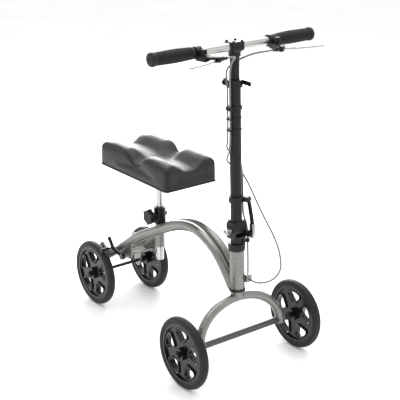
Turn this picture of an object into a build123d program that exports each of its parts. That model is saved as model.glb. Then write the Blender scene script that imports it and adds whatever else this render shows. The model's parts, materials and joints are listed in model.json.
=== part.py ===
from build123d import *
import math
import os

os.makedirs("parts", exist_ok=True)

# Knee scooter. +X is forward, +Y is the rider's left, +Z is up, in mm.
# The origin is on the floor, midway between the axles.

# ---------------------------------------------------------------- driving sizes
wheel_radius = 101.6
tyre_width = 24.0
half_wheelbase = 299.0
front_track = 400.0
rear_track = 202.0
bar_width = 531.0
pad_length = 339.0
pad_width = 179.0
pad_centre_x = -98.0
pad_underside_z = 464.0
pad_thickness = 78.0
post_x = -88.0

running_gap = 0.05
body_gap = 0.3

# steering axis: leans back a little, and meets the floor at axis_foot_x
lean = math.radians(2.0)
axis_foot_x = 286.2
axis_x_dir = (math.cos(lean), 0, math.sin(lean))
axis_up = (-math.sin(lean), 0, math.cos(lean))
axis_plane = Plane(origin=(axis_foot_x, 0, 0), x_dir=axis_x_dir, z_dir=axis_up)

# heights along the steering axis
crown_h = 204.0
lower_cup_h = 225.0
head_tube_low = 232.0
head_tube_high = 344.0
upper_cup_top = 350.0
collar_top = 364.0
hinge_floor_h = 385.0
hinge_h = 403.0
hinge_top_h = 426.0
latch_h = 490.0
guide_h = 742.0
clamp_low = 796.0
clamp_high = 816.0
bar_clamp_low = 884.0
bar_h = 902.5
lever_h = 891.0

# tubes
steerer_r = 14.3
head_tube_r = 21.0
column_r = 15.9
upper_post_r = 12.7
bar_r = 11.1
spine_r = 12.7
spine_wall = 1.8
arch_r = 12.7
arch_wall = 2.0
axle_tube_r = 9.5
axle_r = 5.0
seat_post_r = 11.0
socket_r = 14.3
cable_r = 2.5
wire_r = 0.9

# wheel core
rim_r = 84.0
rim_inner_r = 76.0
hub_r = 18.0
hub_half = 17.0
web_half = 4.5
rib_half = 9.0
spokes = 5

# rear brake, in the XZ plane
brake_pivot = (-188.0, 184.0)
brake_shoe_at = (-241.0, 196.7)
brake_end = (-260.0, 221.0)
brake_arm_y = 70.5
brake_arm_half = 2.5
brake_shaft_r = 4.0


def level(height):
    """The plane square to the steering axis at a height along it."""
    return axis_plane.offset(height)


def axis_side(y=0.0):
    """Upright plane along the steering axis. Sketch x is forward, y is height."""
    start = axis_plane.from_local_coords(Vector(0, y, 0))
    return Plane(origin=start, x_dir=axis_x_dir, z_dir=(0, -1, 0))


def side(y=0.0):
    """Upright plane along the scooter. Sketch x is forward, y is up."""
    return Plane(origin=(0, y, 0), x_dir=(1, 0, 0), z_dir=(0, -1, 0))


def on_axis(x, y, height):
    """A point of the leaning steering frame, in the scooter's frame."""
    return axis_plane.from_local_coords(Vector(x, y, height))


def finish(piece, label):
    piece.part.label = label
    export_step(piece.part, "parts/" + label + ".step")


def turned(plane, low, high, outer, inner=0.0):
    """A ring or disc square to a plane, between two offsets from it."""
    with BuildPart() as ring:
        with BuildSketch(plane.offset(low)):
            Circle(outer)
            if inner:
                Circle(inner, mode=Mode.SUBTRACT)
        extrude(amount=high - low)
    return ring.part


# ---------------------------------------------------------------- cables
def bend_radii(points):
    """Arcs as large as the runs leave room for."""
    radii = []
    for before, at, after in zip(points, points[1:], points[2:]):
        first = Vector(*at) - Vector(*before)
        second = Vector(*after) - Vector(*at)
        turn = math.radians(first.get_angle(second))
        room = 0.45 * min(first.length, second.length)
        radii.append(room / math.tan(turn / 2))
    return radii


def cable(points, radius, label):
    """A round cable along straight runs joined by tangent arcs."""
    points = [tuple(Vector(*p)) for p in points]
    radii = bend_radii(points)
    with BuildPart() as piece:
        with BuildLine() as path:
            FilletPolyline(*points, radius=radii)
        track = path.wires()[0]
        with BuildSketch(Plane(origin=track @ 0, z_dir=track % 0)):
            Circle(radius)
        sweep(path=track)
    length = track.length
    section = math.pi * radius * radius
    ratio = piece.part.volume / (section * length)
    least = min(radii)
    print(label, "length", round(length, 1), "volume ratio", round(ratio, 4), "least bend", round(least, 1))
    print("   bends", [round(r, 1) for r in radii])
    finish(piece, label)
    return piece


# ---------------------------------------------------------------- wheels
def wheel_plane(x, y):
    return Plane(origin=(x, y, wheel_radius), x_dir=(1, 0, 0), z_dir=(0, -1, 0))


def spoke_window(grow=0.0):
    """A rounded triangle with its apex toward the hub."""
    with BuildSketch() as window:
        with BuildLine():
            Line((0, 31 - grow * 1.6), (29 + grow, 63))
            ThreePointArc((29 + grow, 63), (0, 70 + grow), (-29 - grow, 63))
            Line((-29 - grow, 63), (0, 31 - grow * 1.6))
        make_face()
        fillet(window.vertices(), 7 + grow)
    return window.sketch


def wheel_core(x, y, label):
    """One moulded wheel: rim, five ribbed spokes and a hub with a running bore."""
    middle = wheel_plane(x, y)
    with BuildPart() as core:
        with BuildSketch(middle):
            Circle(rim_inner_r + 1)
        extrude(amount=web_half, both=True)
        with BuildSketch(middle):
            Circle(rim_r)
            Circle(rim_inner_r, mode=Mode.SUBTRACT)
        extrude(amount=tyre_width / 2 - 1.5, both=True)
        with BuildSketch(middle):
            with PolarLocations(0, spokes, start_angle=90):
                add(spoke_window(3.5), rotation=-90)
        extrude(amount=rib_half, both=True)
        with BuildSketch(middle):
            Circle(hub_r)
        extrude(amount=hub_half, both=True)
        with BuildSketch(middle):
            with PolarLocations(0, spokes, start_angle=90):
                add(spoke_window(), rotation=-90)
        extrude(amount=rib_half + 1, both=True, mode=Mode.SUBTRACT)
        with BuildSketch(middle):
            Circle(axle_r + running_gap)
        extrude(amount=hub_half + 1, both=True, mode=Mode.SUBTRACT)
        for way in (-1, 1):
            with BuildSketch(middle.offset(way * hub_half)):
                Circle(hub_r - 5)
                Circle(axle_r + 3, mode=Mode.SUBTRACT)
            extrude(amount=-way * 1.5, mode=Mode.SUBTRACT)
    finish(core, label)


def tyre(x, y, label):
    """A solid rubber tyre with a rounded crown, seated on the rim."""
    half = tyre_width / 2
    with BuildPart() as ring:
        with BuildSketch(Plane(origin=(x, y, wheel_radius), x_dir=(0, 1, 0), z_dir=(1, 0, 0))):
            with BuildLine():
                Line((-half + 1.5, rim_r), (half - 1.5, rim_r))
                Line((half - 1.5, rim_r), (half, rim_r + 3))
                Line((half, rim_r + 3), (half, rim_r + 9))
                ThreePointArc((half, rim_r + 9), (0, wheel_radius), (-half, rim_r + 9))
                Line((-half, rim_r + 9), (-half, rim_r + 3))
                Line((-half, rim_r + 3), (-half + 1.5, rim_r))
            make_face()
        revolve(axis=Axis((x, y, wheel_radius), (0, 1, 0)))
    finish(ring, label)


axles = (("front", half_wheelbase, front_track), ("rear", -half_wheelbase, rear_track))
for where, wheel_x, track in axles:
    for hand, sign in (("right", -1), ("left", 1)):
        wheel_core(wheel_x, sign * track / 2, where + "_wheel_" + hand)
        tyre(wheel_x, sign * track / 2, where + "_tyre_" + hand)

# ---------------------------------------------------------------- front axle and arch
front_hub_in = front_track / 2 - hub_half
front_hub_out = front_track / 2 + hub_half
axle_tube_half = front_hub_in - 8

with BuildPart() as front_axle_tube:
    with BuildSketch(side()):
        with Locations((half_wheelbase, wheel_radius)):
            Circle(axle_tube_r)
            Circle(axle_r, mode=Mode.SUBTRACT)
    extrude(amount=axle_tube_half, both=True)
finish(front_axle_tube, "front_axle_tube")

bolt_grip = 60.0
with BuildPart() as front_axle_bolts:
    for sign in (-1, 1):
        bolt_start = (half_wheelbase, sign * (axle_tube_half - bolt_grip), wheel_radius)
        bolt_plane = Plane(origin=bolt_start, z_dir=(0, sign, 0))
        shank = front_hub_out + body_gap - axle_tube_half + bolt_grip
        shoulder = front_hub_in - body_gap - axle_tube_half
        with BuildSketch(bolt_plane):
            Circle(axle_r)
        extrude(amount=shank)
        with BuildSketch(bolt_plane.offset(60)):
            Circle(axle_r + 3)
        extrude(amount=shoulder)
        with BuildSketch(bolt_plane.offset(shank)):
            Circle(10)
        extrude(amount=1.5)
        with BuildSketch(bolt_plane.offset(shank + 1.5)):
            RegularPolygon(8.5, 6)
        extrude(amount=6.5)
finish(front_axle_bolts, "front_axle_bolts")

crown = on_axis(0, 0, crown_h)
arch_up = Vector(crown.X - half_wheelbase, 0, crown.Z - wheel_radius)
arch_height = arch_up.length
arch_half = 143.0
arch_plane = Plane(
    origin=(half_wheelbase, 0, wheel_radius),
    x_dir=(0, 1, 0),
    z_dir=Vector(0, 1, 0).cross(arch_up.normalized()),
)


def arch_sweep(radius, inner=0.0):
    with BuildPart() as swept:
        with BuildLine(arch_plane) as path:
            leg_in = Line((arch_half, -4), (arch_half, 0))
            bow = EllipticalCenterArc((0, 0), arch_half, arch_height, start_angle=0, arc_size=180)
            leg_out = Line((-arch_half, 0), (-arch_half, -4))
        start = Plane(origin=leg_in @ 0, z_dir=leg_in % 0)
        with BuildSketch(start):
            Circle(radius)
            if inner:
                Circle(inner, mode=Mode.SUBTRACT)
        sweep(path=path.line)
    return swept.part


arch_solid = arch_sweep(arch_r)
with BuildPart() as front_arch:
    add(arch_sweep(arch_r, arch_r - arch_wall))
    for sign in (-1, 1):
        cap_plane = Plane(
            origin=arch_plane.from_local_coords(Vector(sign * arch_half, -4, 0)),
            z_dir=arch_up.normalized() * -1,
        )
        with BuildSketch(cap_plane):
            Circle(arch_r)
        extrude(amount=8)
        fillet(front_arch.faces().sort_by(Axis.Z)[0].edges(), 5)
    with BuildSketch(side()):
        with Locations((half_wheelbase, wheel_radius)):
            Circle(axle_tube_r)
    extrude(amount=arch_half + 20, both=True, mode=Mode.SUBTRACT)
finish(front_arch, "front_arch")

with BuildPart() as steerer:
    add(turned(axis_plane, crown_h, collar_top + 8, steerer_r, steerer_r - 3))
    add(turned(axis_plane, crown_h, crown_h + 12, steerer_r))
    add(turned(axis_plane, crown_h + 2, lower_cup_h - body_gap, steerer_r + 4.5))
    add(turned(axis_plane, crown_h + 2, lower_cup_h - 8, steerer_r + 2), mode=Mode.ADD)
    add(arch_solid, mode=Mode.SUBTRACT)
finish(steerer, "steerer")

# ---------------------------------------------------------------- head tube and frame
with BuildPart() as head_tube:
    add(turned(axis_plane, head_tube_low, head_tube_high, head_tube_r, steerer_r + 2.2))
finish(head_tube, "head_tube")

with BuildPart() as headset_cups:
    for low, high in ((lower_cup_h, head_tube_low), (head_tube_high, upper_cup_top)):
        add(turned(axis_plane, low, high, head_tube_r + 2, steerer_r + running_gap))
finish(headset_cups, "headset_cups")

head_solid = turned(axis_plane, lower_cup_h, upper_cup_top, head_tube_r)
cup_solid = turned(axis_plane, lower_cup_h - 10, head_tube_low, head_tube_r + 2)

spine_flat_y = 13.0
spine_spread = 0.134
spine_spread_x = 7.0
spine_ease = 60.0
spine_profile = [
    (-311, 144.5),
    (-230, 195),
    (-150, 256),
    (-60, 304),
    (20, 342),
    (90, 354),
    (150, 341),
    (200, 314),
    (250, 262),
    (272, 234),
]


def spine_y(x):
    """The tubes run side by side from the head tube, then spread toward the rear axle."""
    behind = spine_spread_x - x
    return spine_flat_y + spine_spread * (math.hypot(behind, spine_ease) + behind) / 2


def spine_sweep(sign, radius, inner=0.0):
    with BuildPart() as swept:
        with BuildLine() as path:
            Spline(*[(x, sign * spine_y(x), z) for x, z in spine_profile])
        start = Plane(origin=path.line @ 0, z_dir=path.line % 0)
        with BuildSketch(start):
            Circle(radius)
            if inner:
                Circle(inner, mode=Mode.SUBTRACT)
        sweep(path=path.line)
    return swept.part, start


socket_low = 236.0
socket_high = 322.0
socket_plane = Plane(origin=(post_x, 0, 0), x_dir=(1, 0, 0), z_dir=(0, 0, 1))

spine_solids = {}
for hand, sign in (("right", -1), ("left", 1)):
    solid_tube, tube_end = spine_sweep(sign, spine_r)
    spine_solids[hand] = solid_tube
    with BuildPart() as spine_tube:
        add(spine_sweep(sign, spine_r, spine_r - spine_wall)[0])
        add(head_solid, mode=Mode.SUBTRACT)
        add(cup_solid, mode=Mode.SUBTRACT)
        with BuildSketch(tube_end):
            Circle(spine_r - 0.1)
        extrude(amount=2)
    finish(spine_tube, "spine_tube_" + hand)

with BuildPart() as seat_socket:
    add(turned(socket_plane, socket_low, socket_high, socket_r, seat_post_r + running_gap))
    for hand in ("right", "left"):
        add(spine_solids[hand], mode=Mode.SUBTRACT)
finish(seat_socket, "seat_socket")

# end plates that carry the rear axle, and ears for the cable stops
plate_in = 58.0
plate_out = 64.0
with BuildPart() as end_plates:
    for sign in (-1, 1):
        with BuildSketch(side(sign * (plate_in + plate_out) / 2)) as plate:
            with BuildLine():
                Polyline(
                    (-half_wheelbase - 17, wheel_radius),
                    (-half_wheelbase - 26, 150),
                    (-327, 178),
                    (-318, 192),
                    (-304, 184),
                    (-284, 170),
                    (-277, 150),
                    (-half_wheelbase + 17, wheel_radius),
                    close=True,
                )
            make_face()
            fillet(plate.vertices(), 5)
            with Locations((-half_wheelbase, wheel_radius)):
                Circle(17)
                Circle(axle_r, mode=Mode.SUBTRACT)
        extrude(amount=(plate_out - plate_in) / 2, both=True)
    for hand in ("right", "left"):
        add(spine_solids[hand], mode=Mode.SUBTRACT)

rear_hub_out = rear_track / 2 + hub_half
rear_hub_in = rear_track / 2 - hub_half
with BuildPart() as rear_axle:
    with BuildSketch(side()):
        with Locations((-half_wheelbase, wheel_radius)):
            Circle(axle_r)
    extrude(amount=rear_hub_out + 10, both=True)
    for sign in (-1, 1):
        spacer = Plane(origin=(-half_wheelbase, sign * plate_out, wheel_radius), z_dir=(0, sign, 0))
        with BuildSketch(spacer):
            Circle(axle_r + 3.5)
        extrude(amount=rear_hub_in - body_gap - plate_out)
        nut = spacer.offset(rear_hub_out + body_gap - plate_out)
        with BuildSketch(nut):
            Circle(10)
        extrude(amount=1.5)
        with BuildSketch(nut.offset(1.5)):
            RegularPolygon(8.5, 6)
        extrude(amount=6.5)
finish(rear_axle, "rear_axle")

# cross plate between the spine tubes, with lugs that carry the brake shaft
lug_in = 42.0
lug_out = 47.0
with BuildPart() as cross_brace:
    with BuildSketch(Plane(origin=(-238, 0, 0), x_dir=(0, 1, 0), z_dir=(1, 0, 0))):
        with Locations((0, 186)):
            RectangleRounded(2 * lug_out, 46, 4)
        with Locations((-17, 184), (17, 184)):
            Circle(5, mode=Mode.SUBTRACT)
    extrude(amount=5)
    for sign in (-1, 1):
        with BuildSketch(side(sign * (lug_in + lug_out) / 2)) as lug:
            with BuildLine():
                Polyline(
                    (-238, 170), (-188, 172), (-176, 178), (-176, 226), (-205, 222), (-238, 200),
                    close=True,
                )
            make_face()
            fillet(lug.vertices().group_by(Axis.X)[-1], 5)
            with Locations(brake_pivot):
                Circle(brake_shaft_r, mode=Mode.SUBTRACT)
        extrude(amount=(lug_out - lug_in) / 2, both=True)
    for hand in ("right", "left"):
        add(spine_solids[hand], mode=Mode.SUBTRACT)

arm_boss_half = 4.5
with BuildPart() as brake_shaft:
    with BuildSketch(side()):
        with Locations(brake_pivot):
            Circle(brake_shaft_r)
    extrude(amount=brake_arm_y + arm_boss_half + body_gap, both=True)
    for sign in (-1, 1):
        end = Plane(origin=(brake_pivot[0], 0, brake_pivot[1]), z_dir=(0, sign, 0))
        with BuildSketch(end.offset(brake_arm_y + arm_boss_half + body_gap)):
            Circle(7)
        extrude(amount=3)
        with BuildSketch(end.offset(lug_out)):
            Circle(7)
        extrude(amount=brake_arm_y - arm_boss_half - body_gap - lug_out)

# the shaft is pressed into the lugs
with BuildPart() as brake_bridge:
    add(cross_brace.part)
    add(brake_shaft.part)
finish(brake_bridge, "cross_brace")


def strip(points, width):
    """A flat bar outline of constant width along a bent line, with round ends."""
    with BuildSketch() as shape:
        for first, second in zip(points, points[1:]):
            run = Vector(*second) - Vector(*first)
            middle = (Vector(*first) + Vector(*second)) * 0.5
            angle = math.degrees(math.atan2(run.Y, run.X))
            with Locations(Location((middle.X, middle.Y, 0), (0, 0, angle))):
                Rectangle(run.length, width)
        with Locations(*points):
            Circle(width / 2)
    return shape.sketch


pull = Vector(-40, 0, -31).normalized()
stop_near = 52.0
stop_far = 70.0
arm_wide = 12.0
shoe_r = 6.0
shoe_pin_r = 3.0
for hand, sign in (("right", -1), ("left", 1)):
    with BuildPart() as brake_arm:
        with BuildSketch(side(sign * brake_arm_y)):
            add(strip([brake_pivot, brake_shoe_at, brake_end], arm_wide))
        extrude(amount=brake_arm_half, both=True)
        with BuildSketch(side(sign * brake_arm_y)):
            with Locations(brake_pivot):
                Circle(9)
        extrude(amount=arm_boss_half, both=True)
        with BuildSketch(side(sign * brake_arm_y)):
            with Locations(brake_pivot):
                Circle(brake_shaft_r + running_gap)
        extrude(amount=arm_boss_half + 1, both=True, mode=Mode.SUBTRACT)
        pin_start = (brake_shoe_at[0], sign * brake_arm_y, brake_shoe_at[1])
        pin_plane = Plane(origin=pin_start, z_dir=(0, sign, 0))
        with BuildSketch(pin_plane):
            Circle(shoe_pin_r)
        extrude(amount=rear_track / 2 + tyre_width / 2 + 2 - brake_arm_y)
        anchor_plane = Plane(origin=(brake_end[0], sign * brake_arm_y, brake_end[1]), z_dir=(0, 1, 0))
        with BuildSketch(anchor_plane):
            Circle(4.5)
        extrude(amount=brake_arm_half + 1.5, both=True)
        # the shoe is a loose sleeve on the pin, a solid of its own in this node
        shoe_start = rear_track / 2 - tyre_width / 2 - 2 - brake_arm_y
        with BuildSketch(pin_plane.offset(shoe_start)):
            Circle(shoe_r)
            Circle(shoe_pin_r + running_gap, mode=Mode.SUBTRACT)
        extrude(amount=tyre_width + 4)
    finish(brake_arm, "brake_arm_" + hand)
    # the bare inner wire from the arm to the end of its cable
    arm_tip = Vector(brake_end[0], sign * brake_arm_y, brake_end[1])
    with BuildPart() as brake_wire:
        with BuildSketch(Plane(origin=arm_tip + pull * arm_wide / 2, z_dir=pull)):
            Circle(wire_r)
        extrude(amount=stop_far - arm_wide / 2)
    finish(brake_wire, "brake_wire_" + hand)

# cable stops on the end plates, in line with the end of each brake arm
with BuildPart() as cable_stops:
    for sign in (-1, 1):
        arm_tip = Vector(brake_end[0], sign * brake_arm_y, brake_end[1])
        barrel = Plane(origin=arm_tip + pull * stop_near, z_dir=pull)
        with BuildSketch(barrel):
            Circle(4.5)
        extrude(amount=stop_far - stop_near)
        block = Plane(origin=arm_tip + pull * (stop_near + 9), x_dir=pull, z_dir=(0, -sign, 0))
        with BuildSketch(block):
            RectangleRounded(12, 10, 2)
        extrude(amount=brake_arm_y - plate_out)
        with BuildSketch(barrel):
            Circle(wire_r + 1.1)
        extrude(amount=stop_far - stop_near, mode=Mode.SUBTRACT)
with BuildPart() as rear_brackets:
    add(end_plates.part)
    add(cable_stops.part)
finish(rear_brackets, "rear_brackets")

# ---------------------------------------------------------------- seat post, clamp, knob and pad
collar_low = 312.0
collar_high = 362.0
knob_z = 337.0
with BuildPart() as seat_clamp:
    add(turned(socket_plane, collar_low, socket_high, socket_r + 3.5, socket_r))
    add(turned(socket_plane, socket_high, collar_high, socket_r + 3.5, seat_post_r + running_gap))
    with BuildSketch(Plane(origin=(post_x, -12.5, knob_z), z_dir=(0, -1, 0))):
        Circle(8.5)
    extrude(amount=14)
    with BuildSketch(Plane(origin=(post_x, 14, knob_z), z_dir=(0, 1, 0))):
        Circle(7.5)
    extrude(amount=6)
    with BuildSketch(Plane(origin=(post_x, 20, knob_z), z_dir=(0, 1, 0))):
        RegularPolygon(6, 6)
    extrude(amount=4)
    with BuildSketch(Plane(origin=(post_x, 0, knob_z), z_dir=(0, -1, 0))):
        Circle(4 + body_gap)
    extrude(amount=40, mode=Mode.SUBTRACT)
    with BuildSketch(socket_plane.offset(socket_high)):
        Circle(seat_post_r + running_gap)
    extrude(amount=50, mode=Mode.SUBTRACT)
finish(seat_clamp, "seat_clamp")

with BuildPart() as seat_knob:
    knob_plane = Plane(origin=(post_x, 0, knob_z), z_dir=(0, -1, 0))
    with BuildSketch(knob_plane.offset(31)):
        Circle(20)
        with PolarLocations(19.5, 6):
            Circle(4.5)
    extrude(amount=15)
    fillet(seat_knob.faces().sort_by(Axis.Y)[0].edges(), 2)
    with BuildSketch(knob_plane.offset(27)):
        Circle(10)
    extrude(amount=4)
    with BuildSketch(knob_plane.offset(seat_post_r + 0.4)):
        Circle(4)
    extrude(amount=18)
finish(seat_knob, "seat_knob")

pad_board_thick = 9.0
bracket_z = pad_underside_z - 5
with BuildPart() as seat_post:
    add(turned(socket_plane, 194, bracket_z, seat_post_r, seat_post_r - 2.2))
    with BuildSketch(Plane(origin=(pad_centre_x, 0, bracket_z), z_dir=(0, 0, 1))):
        RectangleRounded(200, 60, 10)
        with GridLocations(170, 36, 2, 2):
            Circle(4, mode=Mode.SUBTRACT)
    extrude(amount=5)
    for sign in (-1, 1):
        with BuildSketch(side(0)):
            with BuildLine():
                Polyline(
                    (post_x + sign * (seat_post_r - 1), bracket_z - 26),
                    (post_x + sign * (seat_post_r - 1), bracket_z),
                    (post_x + sign * (seat_post_r + 34), bracket_z),
                    close=True,
                )
            make_face()
        extrude(amount=2, both=True)
finish(seat_post, "seat_post")

with BuildPart() as pad_board:
    with BuildSketch(Plane(origin=(pad_centre_x, 0, pad_underside_z), z_dir=(0, 0, 1))):
        RectangleRounded(pad_length - 26, pad_width - 26, 22)
    extrude(amount=pad_board_thick)

# the board and the four bolts that hold it on the post's plate
with BuildPart() as board_and_bolts:
    add(pad_board.part)
    with BuildSketch(Plane(origin=(pad_centre_x, 0, bracket_z - 4), z_dir=(0, 0, 1))):
        with GridLocations(170, 36, 2, 2):
            RegularPolygon(7, 6)
    extrude(amount=4)
    with BuildSketch(Plane(origin=(pad_centre_x, 0, bracket_z - 1), z_dir=(0, 0, 1))):
        with GridLocations(170, 36, 2, 2):
            Circle(4)
    extrude(amount=7)
finish(board_and_bolts, "pad_board")

with BuildPart() as knee_pad:
    with BuildSketch(Plane(origin=(pad_centre_x, 0, pad_underside_z), z_dir=(0, 0, 1))):
        RectangleRounded(pad_length, pad_width, 24)
    extrude(amount=pad_thickness)
    fillet(knee_pad.faces().sort_by(Axis.Z)[0].edges(), 8)
    trough_r = 120.0
    with BuildSketch(Plane(origin=(0, 0, 0), x_dir=(0, 1, 0), z_dir=(1, 0, 0))):
        with Locations((0, pad_underside_z + pad_thickness + trough_r - 20)):
            Circle(trough_r)
    extrude(amount=500, both=True, mode=Mode.SUBTRACT)
    valley_r = 70.0
    with BuildSketch(side(0)):
        with Locations((pad_centre_x + 26, pad_underside_z + pad_thickness + valley_r - 15)):
            Circle(valley_r)
    extrude(amount=500, both=True, mode=Mode.SUBTRACT)
    add(pad_board.part, mode=Mode.SUBTRACT)
finish(knee_pad, "knee_pad")

# ---------------------------------------------------------------- folding hinge
ear_in = 16.3
ear_out = 20.8
foot_half = 16.0
clip_at = (17.0, 25.0)
with BuildPart() as upper_collar:
    add(turned(axis_plane, upper_cup_top + body_gap, collar_top, 24, steerer_r))
    fillet(upper_collar.faces().sort_by(Axis.Z)[-1].outer_wire().edges(), 2.5)
finish(upper_collar, "upper_collar")

with BuildPart() as hinge_base:
    add(turned(axis_plane, collar_top, hinge_floor_h, 16.5))
    with BuildSketch(level(hinge_floor_h - 6)):
        RectangleRounded(38, 2 * ear_out, 6)
    extrude(amount=6)
    for sign in (-1, 1):
        with BuildSketch(axis_side(sign * (ear_in + ear_out) / 2)):
            with Locations((0, (hinge_floor_h + hinge_top_h) / 2 - 3)):
                RectangleRounded(36, hinge_top_h - hinge_floor_h + 6, 7)
            with Locations((0, hinge_h)):
                Circle(5, mode=Mode.SUBTRACT)
        extrude(amount=(ear_out - ear_in) / 2, both=True)
    with BuildSketch(level(385)):
        with BuildLine():
            Polyline((8, ear_in), (33, ear_in), (33, 29), (24, 29), (24, ear_out), (8, ear_out), close=True)
        make_face()
    extrude(amount=10)
    with BuildSketch(level(collar_top + 2)):
        with Locations(clip_at, (14, 14)):
            Circle(6)
    extrude(amount=11)
    add(turned(axis_plane, collar_top - 1, collar_top + 8, steerer_r), mode=Mode.SUBTRACT)
finish(hinge_base, "hinge_base")

# clamp levers: each is a fork that swings on a pin through its bolt's flat tongue
tongue_wide = 6.0
tongue_tall = 8.0
cam_pin_r = 2.0
cam_r = 7.0
cam_half = 7.5
hinge_cam_out = 10.5
fork_reach = 1.6


def fork(cam_at, height, reach):
    """The space that a fork's tongue and pin need, as two solids."""
    with BuildPart() as space:
        with BuildSketch(level(height - tongue_tall / 2 - body_gap)):
            with Locations(cam_at):
                Circle(reach)
        extrude(amount=tongue_tall + 2 * body_gap)
        with BuildSketch(level(height - cam_half - 1)):
            with Locations(cam_at):
                Circle(cam_pin_r + running_gap)
        extrude(amount=2 * cam_half + 2)
    return space.part


with BuildPart() as hinge_bolt:
    with BuildSketch(axis_side()):
        with Locations((0, hinge_h)):
            Circle(5)
    extrude(amount=ear_out + 1, both=True)
    left_end = Plane(origin=on_axis(0, ear_out, hinge_h), z_dir=(0, 1, 0))
    with BuildSketch(left_end):
        RegularPolygon(8, 6)
    extrude(amount=6)
    right_end = Plane(origin=on_axis(0, -ear_out, hinge_h), z_dir=(0, -1, 0))
    with BuildSketch(right_end):
        Circle(8)
    extrude(amount=3)
    with BuildSketch(Plane(origin=right_end.origin, x_dir=axis_x_dir, z_dir=(0, -1, 0)).offset(3)):
        Rectangle(tongue_wide, tongue_tall)
    extrude(amount=hinge_cam_out - 3 + 5)
    with BuildSketch(level(hinge_h - cam_half)):
        with Locations((0, -ear_out - hinge_cam_out)):
            Circle(cam_pin_r)
    extrude(amount=2 * cam_half)
finish(hinge_bolt, "hinge_bolt")

with BuildPart() as hinge_lever:
    cam_at = (0.0, -ear_out - hinge_cam_out)
    with BuildSketch(level(hinge_h - cam_half)):
        with Locations(cam_at):
            Circle(cam_r)
    extrude(amount=2 * cam_half)
    with BuildSketch(level(hinge_h - 6)):
        with BuildLine():
            Polyline((0, -24.4), (-18, -26), (-44, -31), (-44, -36), (-16, -37), (0, -38), close=True)
        make_face()
    extrude(amount=12)
    add(fork(cam_at, hinge_h, cam_r + fork_reach), mode=Mode.SUBTRACT)
finish(hinge_lever, "hinge_lever")

# ---------------------------------------------------------------- lower column
with BuildPart() as column_foot:
    with BuildSketch(axis_side(0)):
        with Locations((0, hinge_h)):
            Circle(17)
        with Locations((0, (hinge_h + 430) / 2)):
            Rectangle(34, 430 - hinge_h)
        with Locations((0, hinge_h)):
            Circle(5 + running_gap, mode=Mode.SUBTRACT)
    extrude(amount=foot_half, both=True)
    add(turned(axis_plane, 430, 452, upper_post_r))
finish(column_foot, "column_foot")

column_bore = upper_post_r + running_gap
with BuildPart() as column_tube:
    add(turned(axis_plane, 430, clamp_low + 8, column_r, column_bore))
finish(column_tube, "column_tube")

latch_ear_y = 24.0
latch_pin = (22.0, latch_h)
with BuildPart() as latch_collar:
    add(turned(axis_plane, latch_h - 8, latch_h + 8, column_r + 5, column_r))
    with BuildSketch(level(latch_h - 7)):
        with BuildLine():
            Polyline(
                (4, 15), (17, 10), (30, 16), (30, latch_ear_y - 3 - body_gap),
                (10, latch_ear_y - 3 - body_gap), close=True,
            )
        make_face()
    extrude(amount=14)
    pin_plane = Plane(origin=on_axis(latch_pin[0], latch_ear_y - 6, latch_h), z_dir=(0, 1, 0))
    with BuildSketch(pin_plane):
        Circle(3)
    extrude(amount=9 + body_gap + 2)
    with BuildSketch(pin_plane.offset(9 + 2 * body_gap)):
        Circle(5.5)
    extrude(amount=2.5)
    add(turned(axis_plane, latch_h - 9, latch_h + 9, column_r), mode=Mode.SUBTRACT)
finish(latch_collar, "latch_collar")

with BuildPart() as latch_lever:
    with BuildSketch(axis_side(latch_ear_y)):
        add(strip([latch_pin, (28, 470), (34, 445), (38, 424)], 10))
        with Locations(latch_pin):
            Circle(7.5)
            Circle(3 + running_gap, mode=Mode.SUBTRACT)
    extrude(amount=3, both=True)
finish(latch_lever, "latch_lever")

with BuildPart() as latch_hook:
    with BuildSketch(axis_side(latch_ear_y)):
        with BuildLine():
            Polyline(
                (32, 424), (44, 424), (46, 392), (42, 383), (36, 383),
                (33.6, 386), (33.6, 395.6), (24, 395.6), (24, 402), (32, 404), close=True,
            )
        make_face()
        add(strip([latch_pin, (28, 470), (34, 445), (38, 424)], 10), mode=Mode.SUBTRACT)
    extrude(amount=5, both=True)
finish(latch_hook, "latch_hook")

with BuildPart() as guide_ring:
    add(turned(axis_plane, guide_h - 5, guide_h + 5, column_r + 3, column_r))
    with BuildSketch(level(guide_h - 5)):
        with Locations((3, -22.5)):
            RectangleRounded(22, 11, 4)
        Circle(column_r, mode=Mode.SUBTRACT)
        with Locations((8, -23.5), (-2, -23.5)):
            Circle(cable_r, mode=Mode.SUBTRACT)
    extrude(amount=10)

with BuildPart() as cable_ties:
    add(guide_ring.part)
    for height in (714, 684):
        with BuildSketch(level(height - 2)):
            Circle(column_r + 1.6)
            with Locations((3, -22.5)):
                RectangleRounded(20, 11, 4)
            Circle(column_r, mode=Mode.SUBTRACT)
            with Locations((8, -23.5), (-2, -23.5)):
                Circle(cable_r, mode=Mode.SUBTRACT)
        extrude(amount=4)
finish(cable_ties, "cable_ties")

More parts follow.
